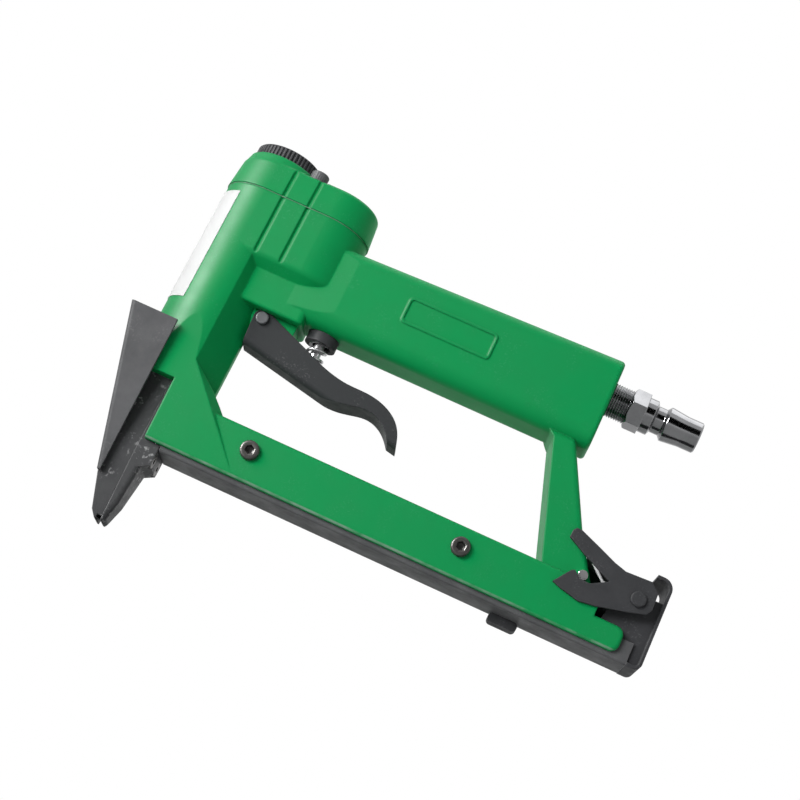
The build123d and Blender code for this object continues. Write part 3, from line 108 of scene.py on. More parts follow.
# The bright screw edge is partly wear and partly a painted reflection on the rims.
screw_edge = (0.380, 0.368, 0.352, 1)
pin_grey = (0.110, 0.114, 0.122, 1)
pin_shade = (0.070, 0.072, 0.078, 1)
# Pale green for the cap gasket, painted as the highlight along the cap's joint.
gasket_highlight_green = (0.130, 0.330, 0.190, 1)
gasket_shade = (0.040, 0.130, 0.070, 1)
bare_steel = (0.560, 0.560, 0.570, 1)
steel_shade = (0.300, 0.300, 0.308, 1)
steel_edge = (0.720, 0.720, 0.730, 1)
chrome = (0.270, 0.272, 0.280, 1)
chrome_shade = (0.100, 0.102, 0.108, 1)
chrome_edge = (0.700, 0.700, 0.710, 1)
label_white = (0.790, 0.795, 0.790, 1)
label_shade = (0.690, 0.700, 0.695, 1)
rubber_black = (0.020, 0.020, 0.021, 1)
rubber_dust = (0.045, 0.045, 0.046, 1)
paper_white = (0.700, 0.700, 0.700, 1)
card_black = (0.012, 0.012, 0.012, 1)

# Edges and inner corners: cosines between a face and its rounded normal, and open shares of the view
flat_cosine = 0.99
edge_cosine = 0.80
closed_corner = 0.35
open_corner = 0.95
corner_samples = 6
speck_fineness = 3.7   # a grain's specks against its peel

# Rail: top of its rounded lower edges, where they begin across it, and how soon the painted highlight on
# them fades
rail_edge_height = 0.0328
rail_edge_half_width = 0.0113
rail_highlight_fade = 0.0004
rail_highlight_patch = 130.0
rail_highlight_least = 0.10

# Springs: each stands under a fixed seat, and a sliding piece squeezes it from below
spring_end_share = 0.15   # of the turns, wound close at each end
spring_steps_per_turn = 58
wire_sides = 16
trigger_spring = {
    "axis": (0.0418, 0.0), "foot": 0.0850, "top": 0.0985, "mean_radius": 0.00335,
    "wire_radius": 0.0006, "turns": 4.5, "travel": 0.0044, "joint": "stem_slide",
}
valve_spring = {
    "axis": (0.0253, 0.0), "foot": 0.1140, "top": 0.1409, "mean_radius": 0.0054,
    "wire_radius": 0.0006, "turns": 8.5, "travel": 0.0030, "joint": "spool_slide",
}

# Socket screws: their sizes, where their seats are and which way they face
screw_steps = 72
screw_flutes = 24
flute_depth = 0.00012
screw_bevel = 0.00035
socket_depth_share = 0.6   # of the head's height
rail_screw = {"head": 0.0035, "height": 0.0024, "shank": 0.0020, "length": 0.0060, "socket": 0.0030}
cap_screw = {"head": 0.0035, "height": 0.0040, "shank": 0.0020, "length": 0.0212, "socket": 0.0030}
rail_side = 0.0120
rail_screw_height = 0.0431
rail_screw_front = 0.0383
rail_screw_rear = 0.1195
rail_screw_seats = [
    ((along, side * rail_side, rail_screw_height), (0, side, 0))
    for along in (rail_screw_front, rail_screw_rear)
    for side in (-1, 1)
]
cap_screw_along = 0.0150
cap_screw_aside = 0.0112
cap_screw_height = 0.1466
cap_screw_seats = [
    ((cap_screw_along, side * cap_screw_aside, cap_screw_height), (0, 0, 1)) for side in (-1, 1)
]


def add_node(tree, kind, **settings):
    """One node with its settings."""
    made = tree.nodes.new(kind)
    for name, value in settings.items():
        setattr(made, name, value)
    return made


def feed(tree, value, socket):
    """Joins an output to a socket, or writes a plain value on it."""
    if isinstance(value, bpy.types.NodeSocket):
        tree.links.new(value, socket)
    else:
        socket.default_value = value


def math_node(tree, operation, first, second=0.0):
    """The output of one Math node."""
    made = add_node(tree, "ShaderNodeMath", operation=operation)
    feed(tree, first, made.inputs[0])
    feed(tree, second, made.inputs[1])
    return made.outputs[0]


def mix_colour(tree, factor, first, second):
    """A colour between two colours."""
    made = add_node(tree, "ShaderNodeMix", data_type="RGBA")
    feed(tree, factor, made.inputs[0])
    feed(tree, first, made.inputs[6])
    feed(tree, second, made.inputs[7])
    return made.outputs[2]


def ramp(tree, value, low, high, to_low=0.0, to_high=1.0):
    """A value stretched from one span to another and held inside it."""
    made = add_node(tree, "ShaderNodeMapRange", clamp=True)
    feed(tree, value, made.inputs["Value"])
    feed(tree, low, made.inputs["From Min"])
    feed(tree, high, made.inputs["From Max"])
    feed(tree, to_low, made.inputs["To Min"])
    feed(tree, to_high, made.inputs["To Max"])
    return made.outputs["Result"]


def noise(tree, place, scale, detail=2.0, roughness=0.5):
    """The value of one noise texture, about 0.5."""
    made = add_node(tree, "ShaderNodeTexNoise")
    feed(tree, place, made.inputs["Vector"])
    feed(tree, scale, made.inputs["Scale"])
    made.inputs["Detail"].default_value = detail
    made.inputs["Roughness"].default_value = roughness
    return made.outputs["Fac"]


def patches(tree, place, scale, detail, low, high, roughness=0.5):
    """Noise cut into patches: 0 where it is low, 1 where it is high."""
    return ramp(tree, noise(tree, place, scale, detail, roughness), low, high)


def object_place(tree):
    """The point's place in the part's own frame."""
    return add_node(tree, "ShaderNodeTexCoord").outputs["Object"]


def new_group(name, inputs, outputs):
    """An empty shader group with named sockets, and its two end nodes."""
    tree = bpy.data.node_groups.new(name, "ShaderNodeTree")
    for label, kind, value in inputs:
        socket = tree.interface.new_socket(label, in_out="INPUT", socket_type=kind)
        socket.default_value = value
    for label, kind in outputs:
        tree.interface.new_socket(label, in_out="OUTPUT", socket_type=kind)
    return tree, add_node(tree, "NodeGroupInput"), add_node(tree, "NodeGroupOutput")


def rounded_edges_group():
    """Normals rounded over each edge, and a mask of where those edges are."""
    tree, start, end = new_group(
        "rounded_edges",
        [("Radius", "NodeSocketFloat", 0.0006), ("Breakup", "NodeSocketFloat", 220.0)],
        [("Normal", "NodeSocketVector"), ("Edge", "NodeSocketFloat")],
    )
    rounded = add_node(tree, "ShaderNodeBevel", samples=corner_samples)
    feed(tree, start.outputs["Radius"], rounded.inputs["Radius"])
    surface = add_node(tree, "ShaderNodeNewGeometry")
    along = add_node(tree, "ShaderNodeVectorMath", operation="DOT_PRODUCT")
    feed(tree, rounded.outputs[0], along.inputs[0])
    feed(tree, surface.outputs["Normal"], along.inputs[1])
    turned = ramp(tree, along.outputs["Value"], flat_cosine, edge_cosine)
    wear_and_highlight = patches(tree, object_place(tree), start.outputs["Breakup"], detail=3.0, low=0.35, high=0.62)
    feed(tree, rounded.outputs[0], end.inputs["Normal"])
    feed(tree, math_node(tree, "MULTIPLY", turned, wear_and_highlight), end.inputs["Edge"])
    return tree


def cloudy_group():
    """A slow change from one tone to another."""
    tree, start, end = new_group(
        "cloudy_tone",
        [
            ("Light", "NodeSocketColor", (1, 1, 1, 1)),
            ("Dark", "NodeSocketColor", (0, 0, 0, 1)),
            ("Scale", "NodeSocketFloat", 40.0),
            ("Contrast", "NodeSocketFloat", 0.5),
        ],
        [("Color", "NodeSocketColor"), ("Cloud", "NodeSocketFloat")],
    )
    place = object_place(tree)
    spread = patches(tree, place, start.outputs["Scale"], detail=4.0, low=0.32, high=0.68, roughness=0.6)
    cloud = math_node(tree, "MULTIPLY", spread, start.outputs["Contrast"])
    colour = mix_colour(tree, cloud, start.outputs["Light"], start.outputs["Dark"])
    feed(tree, colour, end.inputs["Color"])
    feed(tree, spread, end.inputs["Cloud"])
    return tree


def grain_group():
    """Height of a fine, even grain: cast skin, oxide bloom or orange peel."""
    tree, start, end = new_group(
        "fine_grain",
        [("Scale", "NodeSocketFloat", 900.0), ("Speckle", "NodeSocketFloat", 0.3)],
        [("Height", "NodeSocketFloat")],
    )
    place = object_place(tree)
    peel = noise(tree, place, start.outputs["Scale"])
    finer = math_node(tree, "MULTIPLY", start.outputs["Scale"], speck_fineness)
    speck = noise(tree, place, finer, detail=1.0)
    fine = math_node(tree, "MULTIPLY", speck, start.outputs["Speckle"])
    feed(tree, math_node(tree, "ADD", peel, fine), end.inputs["Height"])
    return tree


def crevice_group():
    """A mask of inner corners, where the finishes paint in shade, and dust on the seal rubber."""
    tree, start, end = new_group(
        "crevices",
        [("Distance", "NodeSocketFloat", 0.004)],
        [("Shade", "NodeSocketFloat")],
    )
    hollow = add_node(tree, "ShaderNodeAmbientOcclusion", samples=corner_samples, only_local=True)
    feed(tree, start.outputs["Distance"], hollow.inputs["Distance"])
    shade = ramp(tree, hollow.outputs["AO"], closed_corner, open_corner, 1.0, 0.0)
    feed(tree, shade, end.inputs["Shade"])
    return tree


def scuff_group():
    """A mask of sparse small rubs and specks, gathered in patches."""
    tree, start, end = new_group(
        "scuffs",
        [("Scale", "NodeSocketFloat", 1400.0), ("Patch", "NodeSocketFloat", 90.0)],
        [("Mask", "NodeSocketFloat")],
    )
    place = object_place(tree)
    specks = patches(tree, place, start.outputs["Scale"], detail=2.0, low=0.56, high=0.70)
    gathered = patches(tree, place, start.outputs["Patch"], detail=3.0, low=0.50, high=0.62)
    feed(tree, math_node(tree, "MULTIPLY", specks, gathered), end.inputs["Mask"])
    return tree


def edge_highlight_group():
    """A mask of the rail's lower edges, where a pale highlight is painted on."""
    tree, start, end = new_group(
        "painted_edge_highlight",
        [
            ("Height", "NodeSocketFloat", rail_edge_height),
            ("Half Width", "NodeSocketFloat", rail_edge_half_width),
            ("Fade", "NodeSocketFloat", rail_highlight_fade),
        ],
        [("Mask", "NodeSocketFloat")],
    )
    place = object_place(tree)
    apart = add_node(tree, "ShaderNodeSeparateXYZ")
    feed(tree, place, apart.inputs[0])
    fade = start.outputs["Fade"]
    above = math_node(tree, "ADD", start.outputs["Height"], fade)
    low = ramp(tree, apart.outputs["Z"], start.outputs["Height"], above, 1.0, 0.0)
    inside = math_node(tree, "SUBTRACT", start.outputs["Half Width"], fade)
    across = math_node(tree, "ABSOLUTE", apart.outputs["Y"])
    outer = ramp(tree, across, inside, start.outputs["Half Width"])
    spread = noise(tree, place, rail_highlight_patch, detail=3.0)
    patchy = ramp(tree, spread, low=0.35, high=0.62, to_low=rail_highlight_least)
    edge = math_node(tree, "MULTIPLY", low, outer)
    feed(tree, math_node(tree, "MULTIPLY", edge, patchy), end.inputs["Mask"])
    return tree


rounded_edges = rounded_edges_group()
cloudy_tone = cloudy_group()
fine_grain = grain_group()
crevices = crevice_group()
scuffs = scuff_group()
painted_edge_highlight = edge_highlight_group()


def place_group(tree, group, **values):
    """One use of a shader group, with its own values."""
    made = add_node(tree, "ShaderNodeGroup", node_tree=group)
    for label, value in values.items():
        feed(tree, value, made.inputs[label])
    return made


def finish_material(
    name, light, dark, edge, cloud_scale, cloud, edge_radius, edge_share, roughness, roughness_spread,
    grain_scale, grain_depth, metallic=0.0, corner_shade_and_dust=0.3, specular=0.5, scuff=None, scuff_share=0.0,
    scuff_scale=1400.0, scuff_patch=90.0, edge_highlight=None,
):
    """A finish with a cloudy tone, edges lightened as wear and painted highlight, rubs, inner corners
    darkened as painted shade, an optional painted highlight on the rail's lower edges and a fine grain.
    """
    material = bpy.data.materials.new(name)
    material.use_nodes = True
    tree = material.node_tree
    shader = tree.nodes["Principled BSDF"]
    edges = place_group(tree, rounded_edges, Radius=edge_radius)
    tone = place_group(tree, cloudy_tone, Light=light, Dark=dark, Scale=cloud_scale, Contrast=cloud)
    corner = place_group(tree, crevices)
    grain = place_group(tree, fine_grain, Scale=grain_scale)
    body = tone.outputs["Color"]
    if scuff:
        rub = place_group(tree, scuffs, Scale=scuff_scale, Patch=scuff_patch)
        share = math_node(tree, "MULTIPLY", rub.outputs["Mask"], scuff_share)
        body = mix_colour(tree, share, body, scuff)
    # Edges mixed toward the edge colour: partly wear, partly painted highlight.
    wear_and_highlight = math_node(tree, "MULTIPLY", edges.outputs["Edge"], edge_share)
    body = mix_colour(tree, wear_and_highlight, body, edge)
    # A pale highlight painted along the rail's lower edges.
    if edge_highlight:
        body = mix_colour(tree, place_group(tree, painted_edge_highlight).outputs["Mask"], body, edge_highlight)
    # Inner corners mixed toward the dark tone: painted shade (on the seal rubber, its paler dust).
    shaded = math_node(tree, "MULTIPLY", corner.outputs["Shade"], corner_shade_and_dust)
    feed(tree, mix_colour(tree, shaded, body, dark), shader.inputs["Base Color"])
    smoothest = roughness - roughness_spread
    roughest = roughness + roughness_spread
    matt = ramp(tree, tone.outputs["Cloud"], 0.0, 1.0, smoothest, roughest)
    feed(tree, matt, shader.inputs["Roughness"])
    bump = add_node(tree, "ShaderNodeBump")
    bump.inputs["Strength"].default_value = 1.0
    bump.inputs["Distance"].default_value = grain_depth
    feed(tree, grain.outputs["Height"], bump.inputs["Height"])
    feed(tree, edges.outputs["Normal"], bump.inputs["Normal"])
    feed(tree, bump.outputs["Normal"], shader.inputs["Normal"])
    shader.inputs["Metallic"].default_value = metallic
    shader.inputs["Specular IOR Level"].default_value = specular
    return material


green_paint = finish_material(
    "green_paint", light=green, dark=deep_green, edge=wear_and_highlight_green,
    cloud_scale=45.0, cloud=0.35, edge_radius=0.0009, edge_share=0.35,
    roughness=0.47, roughness_spread=0.05, grain_scale=700.0, grain_depth=0.000012,
    corner_shade_and_dust=0.6, specular=0.12, scuff=wear_and_highlight_green, scuff_share=0.35, edge_highlight=edge_highlight_green,
)
oxide_finish = {
    "dark": oxide_shade, "edge": oxide_edge,
    "cloud_scale": 130.0, "cloud": 0.6, "edge_radius": 0.0006, "edge_share": 0.55,
    "roughness": 0.54, "roughness_spread": 0.08, "grain_scale": 1500.0, "grain_depth": 0.000012,
    "corner_shade_and_dust": 0.5, "specular": 0.10, "scuff": oxide_scuff, "scuff_share": 0.22,
}
oxide_steel = finish_material("oxide_steel", light=black_oxide, **oxide_finish)
# A darker copy of the oxide finish for the trigger: painted shade.
trigger_steel = finish_material("trigger_steel", light=trigger_black, **oxide_finish)
nose_steel = finish_material(
    "nose_steel", light=nose_grey, dark=nose_shade, edge=nose_edge,
    cloud_scale=110.0, cloud=0.7, edge_radius=0.0006, edge_share=0.6,
    roughness=0.46, roughness_spread=0.10, grain_scale=1100.0, grain_depth=0.000030,
    corner_shade_and_dust=0.6, specular=0.12, scuff=nose_rub, scuff_share=0.8, scuff_scale=700.0, scuff_patch=120.0,
)
screw_steel = finish_material(
    "screw_steel", light=screw_dark, dark=screw_shade, edge=screw_edge,
    cloud_scale=300.0, cloud=0.5, edge_radius=0.0004, edge_share=0.75,
    roughness=0.36, roughness_spread=0.08, grain_scale=2500.0, grain_depth=0.000006,
    metallic=0.6, corner_shade_and_dust=1.0, specular=0.2,
)
hood_steel = finish_material(
    "hood_steel", light=hood_grey, dark=hood_shade, edge=nose_edge,
    cloud_scale=100.0, cloud=0.8, edge_radius=0.0005, edge_share=0.6,
    roughness=0.48, roughness_spread=0.08, grain_scale=1500.0, grain_depth=0.000010,
    corner_shade_and_dust=0.5, specular=0.10, scuff=oxide_scuff, scuff_share=0.3,
)
pin_steel = finish_material(
    "pin_steel", light=pin_grey, dark=pin_shade, edge=oxide_edge,
    cloud_scale=300.0, cloud=0.5, edge_radius=0.0004, edge_share=0.6,
    roughness=0.45, roughness_spread=0.08, grain_scale=2500.0, grain_depth=0.000006,
    corner_shade_and_dust=0.5,
)
# The gasket's pale colour is a painted highlight along the cap's joint.
gasket_paper = finish_material(
    "gasket_paper", light=gasket_highlight_green, dark=gasket_shade, edge=gasket_highlight_green,
    cloud_scale=300.0, cloud=0.5, edge_radius=0.0001, edge_share=0.3,
    roughness=0.70, roughness_spread=0.08, grain_scale=2500.0, grain_depth=0.000004,
    specular=0.3,
)
spring_steel = finish_material(
    "spring_steel", light=bare_steel, dark=steel_shade, edge=steel_edge,
    cloud_scale=300.0, cloud=0.6, edge_radius=0.0003, edge_share=0.4,
    roughness=0.28, roughness_spread=0.06, grain_scale=3000.0, grain_depth=0.000004,
    metallic=0.7, corner_shade_and_dust=0.7,
)
# A brighter, less metallic copy of the spring steel, painted light so the latch spring shows bright in
# the shade between the latch plates.
wire_steel = finish_material(
    "wire_steel", light=steel_edge, dark=steel_shade, edge=steel_edge,
    cloud_scale=300.0, cloud=0.3, edge_radius=0.0003, edge_share=0.4,
    roughness=0.34, roughness_spread=0.06, grain_scale=3000.0, grain_depth=0.000004,
    metallic=0.3,
)
plug_chrome = finish_material(
    "plug_chrome", light=chrome, dark=chrome_shade, edge=chrome_edge,
    cloud_scale=120.0, cloud=0.35, edge_radius=0.0004, edge_share=0.5,
    roughness=0.14, roughness_spread=0.04, grain_scale=2500.0, grain_depth=0.000003,
    metallic=1.0, corner_shade_and_dust=0.8,
)
blank_label = finish_material(
    "blank_label", light=label_white, dark=label_shade, edge=label_shade,
    cloud_scale=60.0, cloud=0.25, edge_radius=0.0003, edge_share=0.5,
    roughness=0.60, roughness_spread=0.05, grain_scale=1800.0, grain_depth=0.000004,
    corner_shade_and_dust=0.1, specular=0.08,
)
seal_rubber = finish_material(
    "seal_rubber", light=rubber_black, dark=rubber_dust, edge=rubber_dust,
    cloud_scale=150.0, cloud=0.6, edge_radius=0.0003, edge_share=0.5,
    roughness=0.7, roughness_spread=0.08, grain_scale=2200.0, grain_depth=0.000008,
)
moulded_black = finish_material(
    "moulded_black", light=rubber_dust, dark=rubber_black, edge=rubber_dust,
    cloud_scale=120.0, cloud=0.5, edge_radius=0.0004, edge_share=0.5,
    roughness=0.5, roughness_spread=0.06, grain_scale=1800.0, grain_depth=0.000008,
)

finishes = {
    "green_paint": green_paint,
    "black_steel": oxide_steel,
    "dark_fasteners": screw_steel,
    "bright_steel": spring_steel,
    "chromed_plug": plug_chrome,
    "aluminium": spring_steel,
    "rubber": seal_rubber,
    "pusher_plastic": moulded_black,
    "blank_label": blank_label,
}
for row in frame["record"]["subparts"]:
    part = nodes[row["node"]]
    part.data.materials.clear()
    part.data.materials.append(finishes[row["material_slot"]])
for node, material in (
    ("nose_guard", hood_steel),
    ("nose_front_plate", nose_steel),
    ("nose_back_plate", nose_steel),
    ("trigger", trigger_steel),
    ("magazine_channel", hood_steel),
    ("latch_pins", spring_steel),
    ("latch_spring", wire_steel),
    ("trigger_pin", pin_steel),
    ("cap_gasket", gasket_paper),
):
    nodes[node].data.materials[0] = material


def new_tree(name, inputs):
    """An empty Geometry Nodes tree with named inputs and one geometry output."""
    tree = bpy.data.node_groups.new(name, "GeometryNodeTree")
    for label, kind in inputs:
        tree.interface.new_socket(label, in_out="INPUT", socket_type=kind)
    tree.interface.new_socket("Geometry", in_out="OUTPUT", socket_type="NodeSocketGeometry")
    return tree, add_node(tree, "NodeGroupInput"), add_node(tree, "NodeGroupOutput")


def grown(name, tree, base_mesh, values):
    """The plain mesh object that a tree gives for these inputs."""
    seed = bpy.data.objects.new(name + "_seed", base_mesh)
    bpy.context.scene.collection.objects.link(seed)
    modifier = seed.modifiers.new("tree", "NODES")
    modifier.node_group = tree
    for item in tree.interface.items_tree:
        if item.in_out == "INPUT" and item.name in values:
            modifier[item.identifier] = values[item.name]
    bpy.context.view_layer.update()
    evaluated = seed.evaluated_get(bpy.context.evaluated_depsgraph_get())
    mesh = bpy.data.meshes.new_from_object(evaluated)
    mesh.name = name
    seed.modifiers.clear()
    bpy.data.objects.remove(seed)
    made = bpy.data.objects.new(name, mesh)
    bpy.context.scene.collection.objects.link(made)
    return made


def end_dressed(tree, shape, finish, end):
    """Ends a tree: the shape as plain mesh, in its finish."""
    real = add_node(tree, "GeometryNodeRealizeInstances")
    feed(tree, shape, real.inputs[0])
    dressed = add_node(tree, "GeometryNodeSetMaterial")
    feed(tree, real.outputs[0], dressed.inputs["Geometry"])
    feed(tree, finish, dressed.inputs["Material"])
    feed(tree, dressed.outputs[0], end.inputs[0])


def wound_spring_tree():
    """A compression spring: wire that climbs slowly at both ends and evenly between them."""
    tree, start, end = new_tree(
        "wound_spring",
        [
            ("Turns", "NodeSocketFloat"),
            ("Mean Radius", "NodeSocketFloat"),
            ("Wire Radius", "NodeSocketFloat"),
            ("Height", "NodeSocketFloat"),
            ("End Share", "NodeSocketFloat"),
            ("Steps", "NodeSocketInt"),
            ("Foot", "NodeSocketVector"),
            ("Finish", "NodeSocketMaterial"),
        ],
    )
    line = add_node(tree, "GeometryNodeCurvePrimitiveLine")
    fine = add_node(tree, "GeometryNodeResampleCurve")
    feed(tree, line.outputs[0], fine.inputs["Curve"])
    feed(tree, start.outputs["Steps"], fine.inputs["Count"])
    share = add_node(tree, "GeometryNodeSplineParameter").outputs["Factor"]
    ends = start.outputs["End Share"]
    wire = math_node(tree, "MULTIPLY", start.outputs["Wire Radius"], 2.0)
    end_turns = math_node(tree, "MULTIPLY", ends, start.outputs["Turns"])
    end_climb = math_node(tree, "MULTIPLY", end_turns, wire)
    room = math_node(tree, "SUBTRACT", start.outputs["Height"], wire)
    middle = math_node(tree, "SUBTRACT", room, math_node(tree, "MULTIPLY", end_climb, 2.0))
    far = math_node(tree, "SUBTRACT", 1.0, ends)
    climb = ramp(tree, share, 0.0, ends, 0.0, end_climb)
    climb = math_node(tree, "ADD", climb, ramp(tree, share, ends, far, 0.0, middle))
    climb = math_node(tree, "ADD", climb, ramp(tree, share, far, 1.0, 0.0, end_climb))
    climb = math_node(tree, "ADD", climb, start.outputs["Wire Radius"])
    whole_angle = math_node(tree, "MULTIPLY", start.outputs["Turns"], 2 * math.pi)
    angle = math_node(tree, "MULTIPLY", share, whole_angle)
    across = math_node(tree, "MULTIPLY", math_node(tree, "COSINE", angle), start.outputs["Mean Radius"])
    deep = math_node(tree, "MULTIPLY", math_node(tree, "SINE", angle), start.outputs["Mean Radius"])
    point = add_node(tree, "ShaderNodeCombineXYZ")
    for value, socket in zip((across, deep, climb), point.inputs):
        feed(tree, value, socket)
    standing = add_node(tree, "ShaderNodeVectorMath", operation="ADD")
    feed(tree, point.outputs[0], standing.inputs[0])
    feed(tree, start.outputs["Foot"], standing.inputs[1])
    placed = add_node(tree, "GeometryNodeSetPosition")
    feed(tree, fine.outputs[0], placed.inputs["Geometry"])
    feed(tree, standing.outputs[0], placed.inputs["Position"])
    section = add_node(tree, "GeometryNodeCurvePrimitiveCircle")
    section.inputs["Resolution"].default_value = wire_sides
    feed(tree, start.outputs["Wire Radius"], section.inputs["Radius"])
    body = add_node(tree, "GeometryNodeCurveToMesh")
    feed(tree, placed.outputs[0], body.inputs["Curve"])
    feed(tree, section.outputs[0], body.inputs["Profile Curve"])
    body.inputs["Fill Caps"].default_value = True
    smooth = add_node(tree, "GeometryNodeSetShadeSmooth")
    feed(tree, body.outputs[0], smooth.inputs["Geometry"])
    end_dressed(tree, smooth.outputs[0], start.outputs["Finish"], end)
    return tree


def screws_on_seats_tree():
    """One screw on each seat, turned to face out of it."""
    tree, start, end = new_tree(
        "screws_on_seats",
        [
            ("Geometry", "NodeSocketGeometry"),
            ("Screw", "NodeSocketObject"),
            ("Finish", "NodeSocketMaterial"),
        ],
    )
    facing = add_node(tree, "GeometryNodeInputNamedAttribute", data_type="FLOAT_VECTOR")
    facing.inputs["Name"].default_value = "facing"
    turn = add_node(tree, "FunctionNodeAlignRotationToVector", axis="Z")
    feed(tree, facing.outputs["Attribute"], turn.inputs["Vector"])
    screw = add_node(tree, "GeometryNodeObjectInfo")
    feed(tree, start.outputs["Screw"], screw.inputs["Object"])
    spread = add_node(tree, "GeometryNodeInstanceOnPoints")
    feed(tree, start.outputs["Geometry"], spread.inputs["Points"])
    feed(tree, screw.outputs["Geometry"], spread.inputs["Instance"])
    feed(tree, turn.outputs[0], spread.inputs["Rotation"])
    end_dressed(tree, spread.outputs[0], start.outputs["Finish"], end)
    return tree


def hex_radius(angle, across_flats):
    """How far a hexagon's side is from its middle, at an angle."""
    sixth = math.pi / 3
    return across_flats / 2 / math.cos((angle + sixth / 2) % sixth - sixth / 2)


def ring_of_points(angles, reaches, height):
    """Points round the screw's axis, each at its own angle and reach."""
    return [
        Vector((reach * math.cos(angle), reach * math.sin(angle), height))
        for angle, reach in zip(angles, reaches)
    ]


def socket_screw_mesh(name, head, height, shank, length, socket):
    """A socket screw: fluted head with a bevelled rim and a deep hexagon socket."""
    bevel = screw_bevel
    depth = socket_depth_share * height
    angles = [2 * math.pi * step / screw_steps for step in range(screw_steps)]

    def plain(radius, z):
        return ring_of_points(angles, [radius] * screw_steps, z)

    def fluted(radius, z):
        dips = [flute_depth * (1 - math.cos(screw_flutes * angle)) / 2 for angle in angles]
        return ring_of_points(angles, [radius - dip for dip in dips], z)

    def hexagon(across_flats, z):
        return ring_of_points(angles, [hex_radius(angle, across_flats) for angle in angles], z)

    rings = [
        plain(shank - bevel, -length),
        plain(shank, bevel - length),
        plain(shank, 0),
        plain(head - bevel / 2, 0),
        plain(head, bevel / 2),
        fluted(head, bevel),
        fluted(head, height - 2 * bevel),
        plain(head, height - 1.5 * bevel),
        plain(head - bevel, height - 0.25 * bevel),
        plain(head - 2 * bevel, height),
        plain(socket / 2 + 2 * bevel, height),
        hexagon(socket + bevel, height - 0.2 * bevel),
        hexagon(socket, height - 0.8 * bevel),
        hexagon(socket, height - depth),
        hexagon(socket / 2, height - 1.15 * depth),
    ]
    shape = bmesh.new()
    loops = [[shape.verts.new(point) for point in ring] for ring in rings]
    for low, high in zip(loops, loops[1:]):
        for step in range(screw_steps):
            after = (step + 1) % screw_steps
            shape.faces.new((low[step], low[after], high[after], high[step]))
    shape.faces.new(list(reversed(loops[0])))
    shape.faces.new(loops[-1])
    bmesh.ops.recalc_face_normals(shape, faces=shape.faces)
    mesh = bpy.data.meshes.new(name)
    shape.to_mesh(mesh)
    shape.free()
    return mesh


def seat_points(name, seats):
    """A mesh of bare points, each with the way its screw faces."""
    mesh = bpy.data.meshes.new(name)
    mesh.from_pydata([place for place, way in seats], [], [])
    facing = mesh.attributes.new("facing", "FLOAT_VECTOR", "POINT")
    for row, (place, way) in zip(facing.data, seats):
        row.vector = way
    return mesh


spring_tree = wound_spring_tree()
screw_tree = screws_on_seats_tree()


def wound_spring(name, node, finish, sizes):
    """A wound spring in place of a CAD node."""
    length = sizes["top"] - sizes["foot"]
    coil = grown(
        name,
        spring_tree,
        bpy.data.meshes.new(name + "_start"),
        {
            "Turns": sizes["turns"],
            "Mean Radius": sizes["mean_radius"],
            "Wire Radius": sizes["wire_radius"],
            "Height": length,
            "End Share": spring_end_share,
            "Steps": round(spring_steps_per_turn * sizes["turns"]),
            "Foot": (*sizes["axis"], sizes["foot"]),
            "Finish": finish,
        },
    )
    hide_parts(node)
    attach(coil, "housing")
    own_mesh(coil)


wound_spring("trigger_coil", "trigger_spring", spring_steel, trigger_spring)
wound_spring("valve_coil", "main_valve_spring", spring_steel, valve_spring)


def set_of_screws(name, node, finish, seats, sizes):
    """Screws on their seats, in place of a CAD node."""
    template = bpy.data.objects.new(name + "_template", socket_screw_mesh(name, **sizes))
    bpy.context.scene.collection.objects.link(template)
    points = seat_points(name + "_seats", seats)
    made = grown(name, screw_tree, points, {"Screw": template, "Finish": finish})
    bpy.data.objects.remove(template)
    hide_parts(node)
    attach(made, "housing")


set_of_screws("rail_socket_screws", "rail_screws", screw_steel, rail_screw_seats, rail_screw)
set_of_screws("cap_socket_screws", "cap_screws", hood_steel, cap_screw_seats, cap_screw)


def place_camera():
    """The camera of the photograph."""
    data = bpy.data.cameras.new("photo_camera")
    data.lens = camera_lens
    data.sensor_width = camera_sensor
    data.clip_start = camera_clip_start
    camera = bpy.data.objects.new("photo_camera", data)
    bpy.context.scene.collection.objects.link(camera)
    ahead = (camera_target - camera_place).normalized()
    level = ahead.cross(Vector((0, 0, 1))).normalized()
    upright = level.cross(ahead)
    right = level * math.cos(camera_roll) + upright * math.sin(camera_roll)
    up = upright * math.cos(camera_roll) - level * math.sin(camera_roll)
    turn = Matrix((right, up, -ahead)).transposed()
    camera.matrix_world = Matrix.Translation(camera_place) @ turn.to_4x4()
    bpy.context.scene.camera = camera


def soft_lamp(name, place, size, power):
    """A square soft box that faces the tool."""
    data = bpy.data.lights.new(name, "AREA")
    data.size = size
    data.energy = power
    lamp = bpy.data.objects.new(name, data)
    bpy.context.scene.collection.objects.link(lamp)
    lamp.location = place
    towards_tool = camera_target - Vector(place)
    lamp.rotation_euler = towards_tool.to_track_quat("-Z", "Y").to_euler()
    return lamp


def flat_sheet(name, corners, colour):
    """A flat stage piece with its own plain material."""
    mesh = bpy.data.meshes.new(name)
    mesh.from_pydata(corners, [], [(0, 1, 2, 3)])
    made = bpy.data.objects.new(name, mesh)
    bpy.context.scene.collection.objects.link(made)
    material = bpy.data.materials.new(name)
    material.use_nodes = True
    shader = material.node_tree.nodes["Principled BSDF"]
    shader.inputs["Base Color"].default_value = colour
    shader.inputs["Roughness"].default_value = sheet_roughness
    shader.inputs["Specular IOR Level"].default_value = 0.0
    mesh.materials.append(material)
    return made


def seen_rays(tree, path):
    """One for rays that show the background: to the camera, in gloss and through glass."""
    rays = path.outputs
    shown = math_node(tree, "MAXIMUM", rays["Is Camera Ray"], rays["Is Transmission Ray"])
    return math_node(tree, "MAXIMUM", shown, rays["Is Glossy Ray"])


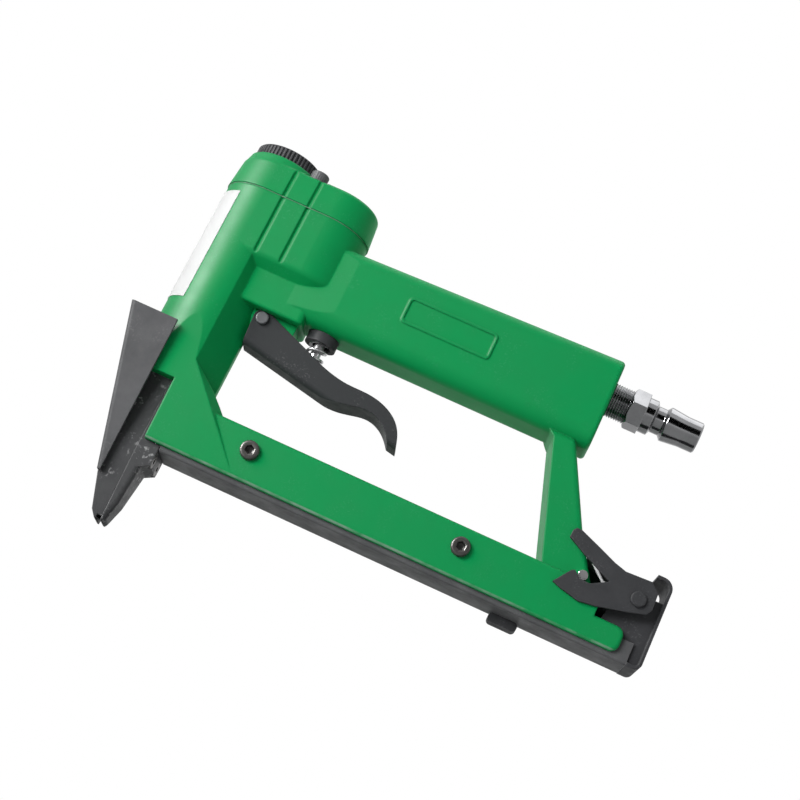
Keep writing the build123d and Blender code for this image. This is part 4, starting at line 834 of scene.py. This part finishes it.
def pale_floor():
    """Floor just under the muzzle."""
    half = floor_half_width
    height = cad_box[0][2] - floor_gap
    floor = flat_sheet(
        "floor",
        [(-half, -half, height), (half, -half, height), (half, half, height), (-half, half, height)],
        paper_white,
    )
    # Away from the tool the paper runs out into the white surround
    tree = floor.data.materials[0].node_tree
    path = add_node(tree, "ShaderNodeLightPath")
    away = add_node(tree, "ShaderNodeVectorMath", operation="DISTANCE")
    feed(tree, object_place(tree), away.inputs[0])
    away.inputs[1].default_value = (camera_target.x, camera_target.y, height)
    far = ramp(tree, away.outputs["Value"], paper_near, paper_far)
    white = add_node(tree, "ShaderNodeEmission")
    fading = add_node(tree, "ShaderNodeMixShader")
    feed(tree, math_node(tree, "MULTIPLY", far, seen_rays(tree, path)), fading.inputs["Fac"])
    tree.links.new(tree.nodes["Principled BSDF"].outputs["BSDF"], fading.inputs[1])
    tree.links.new(white.outputs["Emission"], fading.inputs[2])

    # From below, where the photograph was taken, it lets the view through
    clear = add_node(tree, "ShaderNodeBsdfTransparent")
    surface = add_node(tree, "ShaderNodeNewGeometry")
    below = math_node(tree, "MULTIPLY", surface.outputs["Backfacing"], path.outputs["Is Camera Ray"])
    either = add_node(tree, "ShaderNodeMixShader")
    feed(tree, below, either.inputs["Fac"])
    tree.links.new(fading.outputs["Shader"], either.inputs[1])
    tree.links.new(clear.outputs["BSDF"], either.inputs[2])
    tree.links.new(either.outputs["Shader"], tree.nodes["Material Output"].inputs["Surface"])


def dark_card():
    """A card behind the camera, which only reflections see."""
    half = card_half_width
    corners = [(-half, card_bottom), (half, card_bottom), (half, card_top), (-half, card_top)]
    card = flat_sheet("dark_card", [(x, -card_distance, z) for x, z in corners], card_black)
    card.visible_camera = False
    card.visible_diffuse = False
    card.visible_shadow = False


def soft_lamps():
    """The broad key is kept out of the reflections, which see a narrower box on the left instead."""
    key = soft_lamp("key_lamp", place=(-0.62, -1.00, 0.15), size=0.6, power=15.5)
    key.visible_glossy = False
    side = soft_lamp("side_lamp", place=(-1.00, -0.65, 0.37), size=0.55, power=84.0)
    side.visible_diffuse = False
    soft_lamp("top_lamp", place=(0.10, 0.10, 1.10), size=0.8, power=4.0)
    rear = soft_lamp("rear_lamp", place=(0.45, 0.95, 0.50), size=0.8, power=6.5)
    rear.visible_glossy = False


def white_surround():
    """A surround that is white in view and lights the tool softly."""
    world = bpy.data.worlds.new("white_surround")
    bpy.context.scene.world = world
    world.use_nodes = True
    tree = world.node_tree
    tree.nodes.clear()
    shown = seen_rays(tree, add_node(tree, "ShaderNodeLightPath"))
    surround = add_node(tree, "ShaderNodeBackground")
    surround.inputs["Color"].default_value = (1, 1, 1, 1)
    feed(tree, ramp(tree, shown, 0.0, 1.0, surround_light, 1.0), surround.inputs["Strength"])
    out = add_node(tree, "ShaderNodeOutputWorld")
    tree.links.new(surround.outputs["Background"], out.inputs["Surface"])


place_camera()
pale_floor()
dark_card()
soft_lamps()
white_surround()
bpy.context.scene.view_settings.view_transform = "Standard"
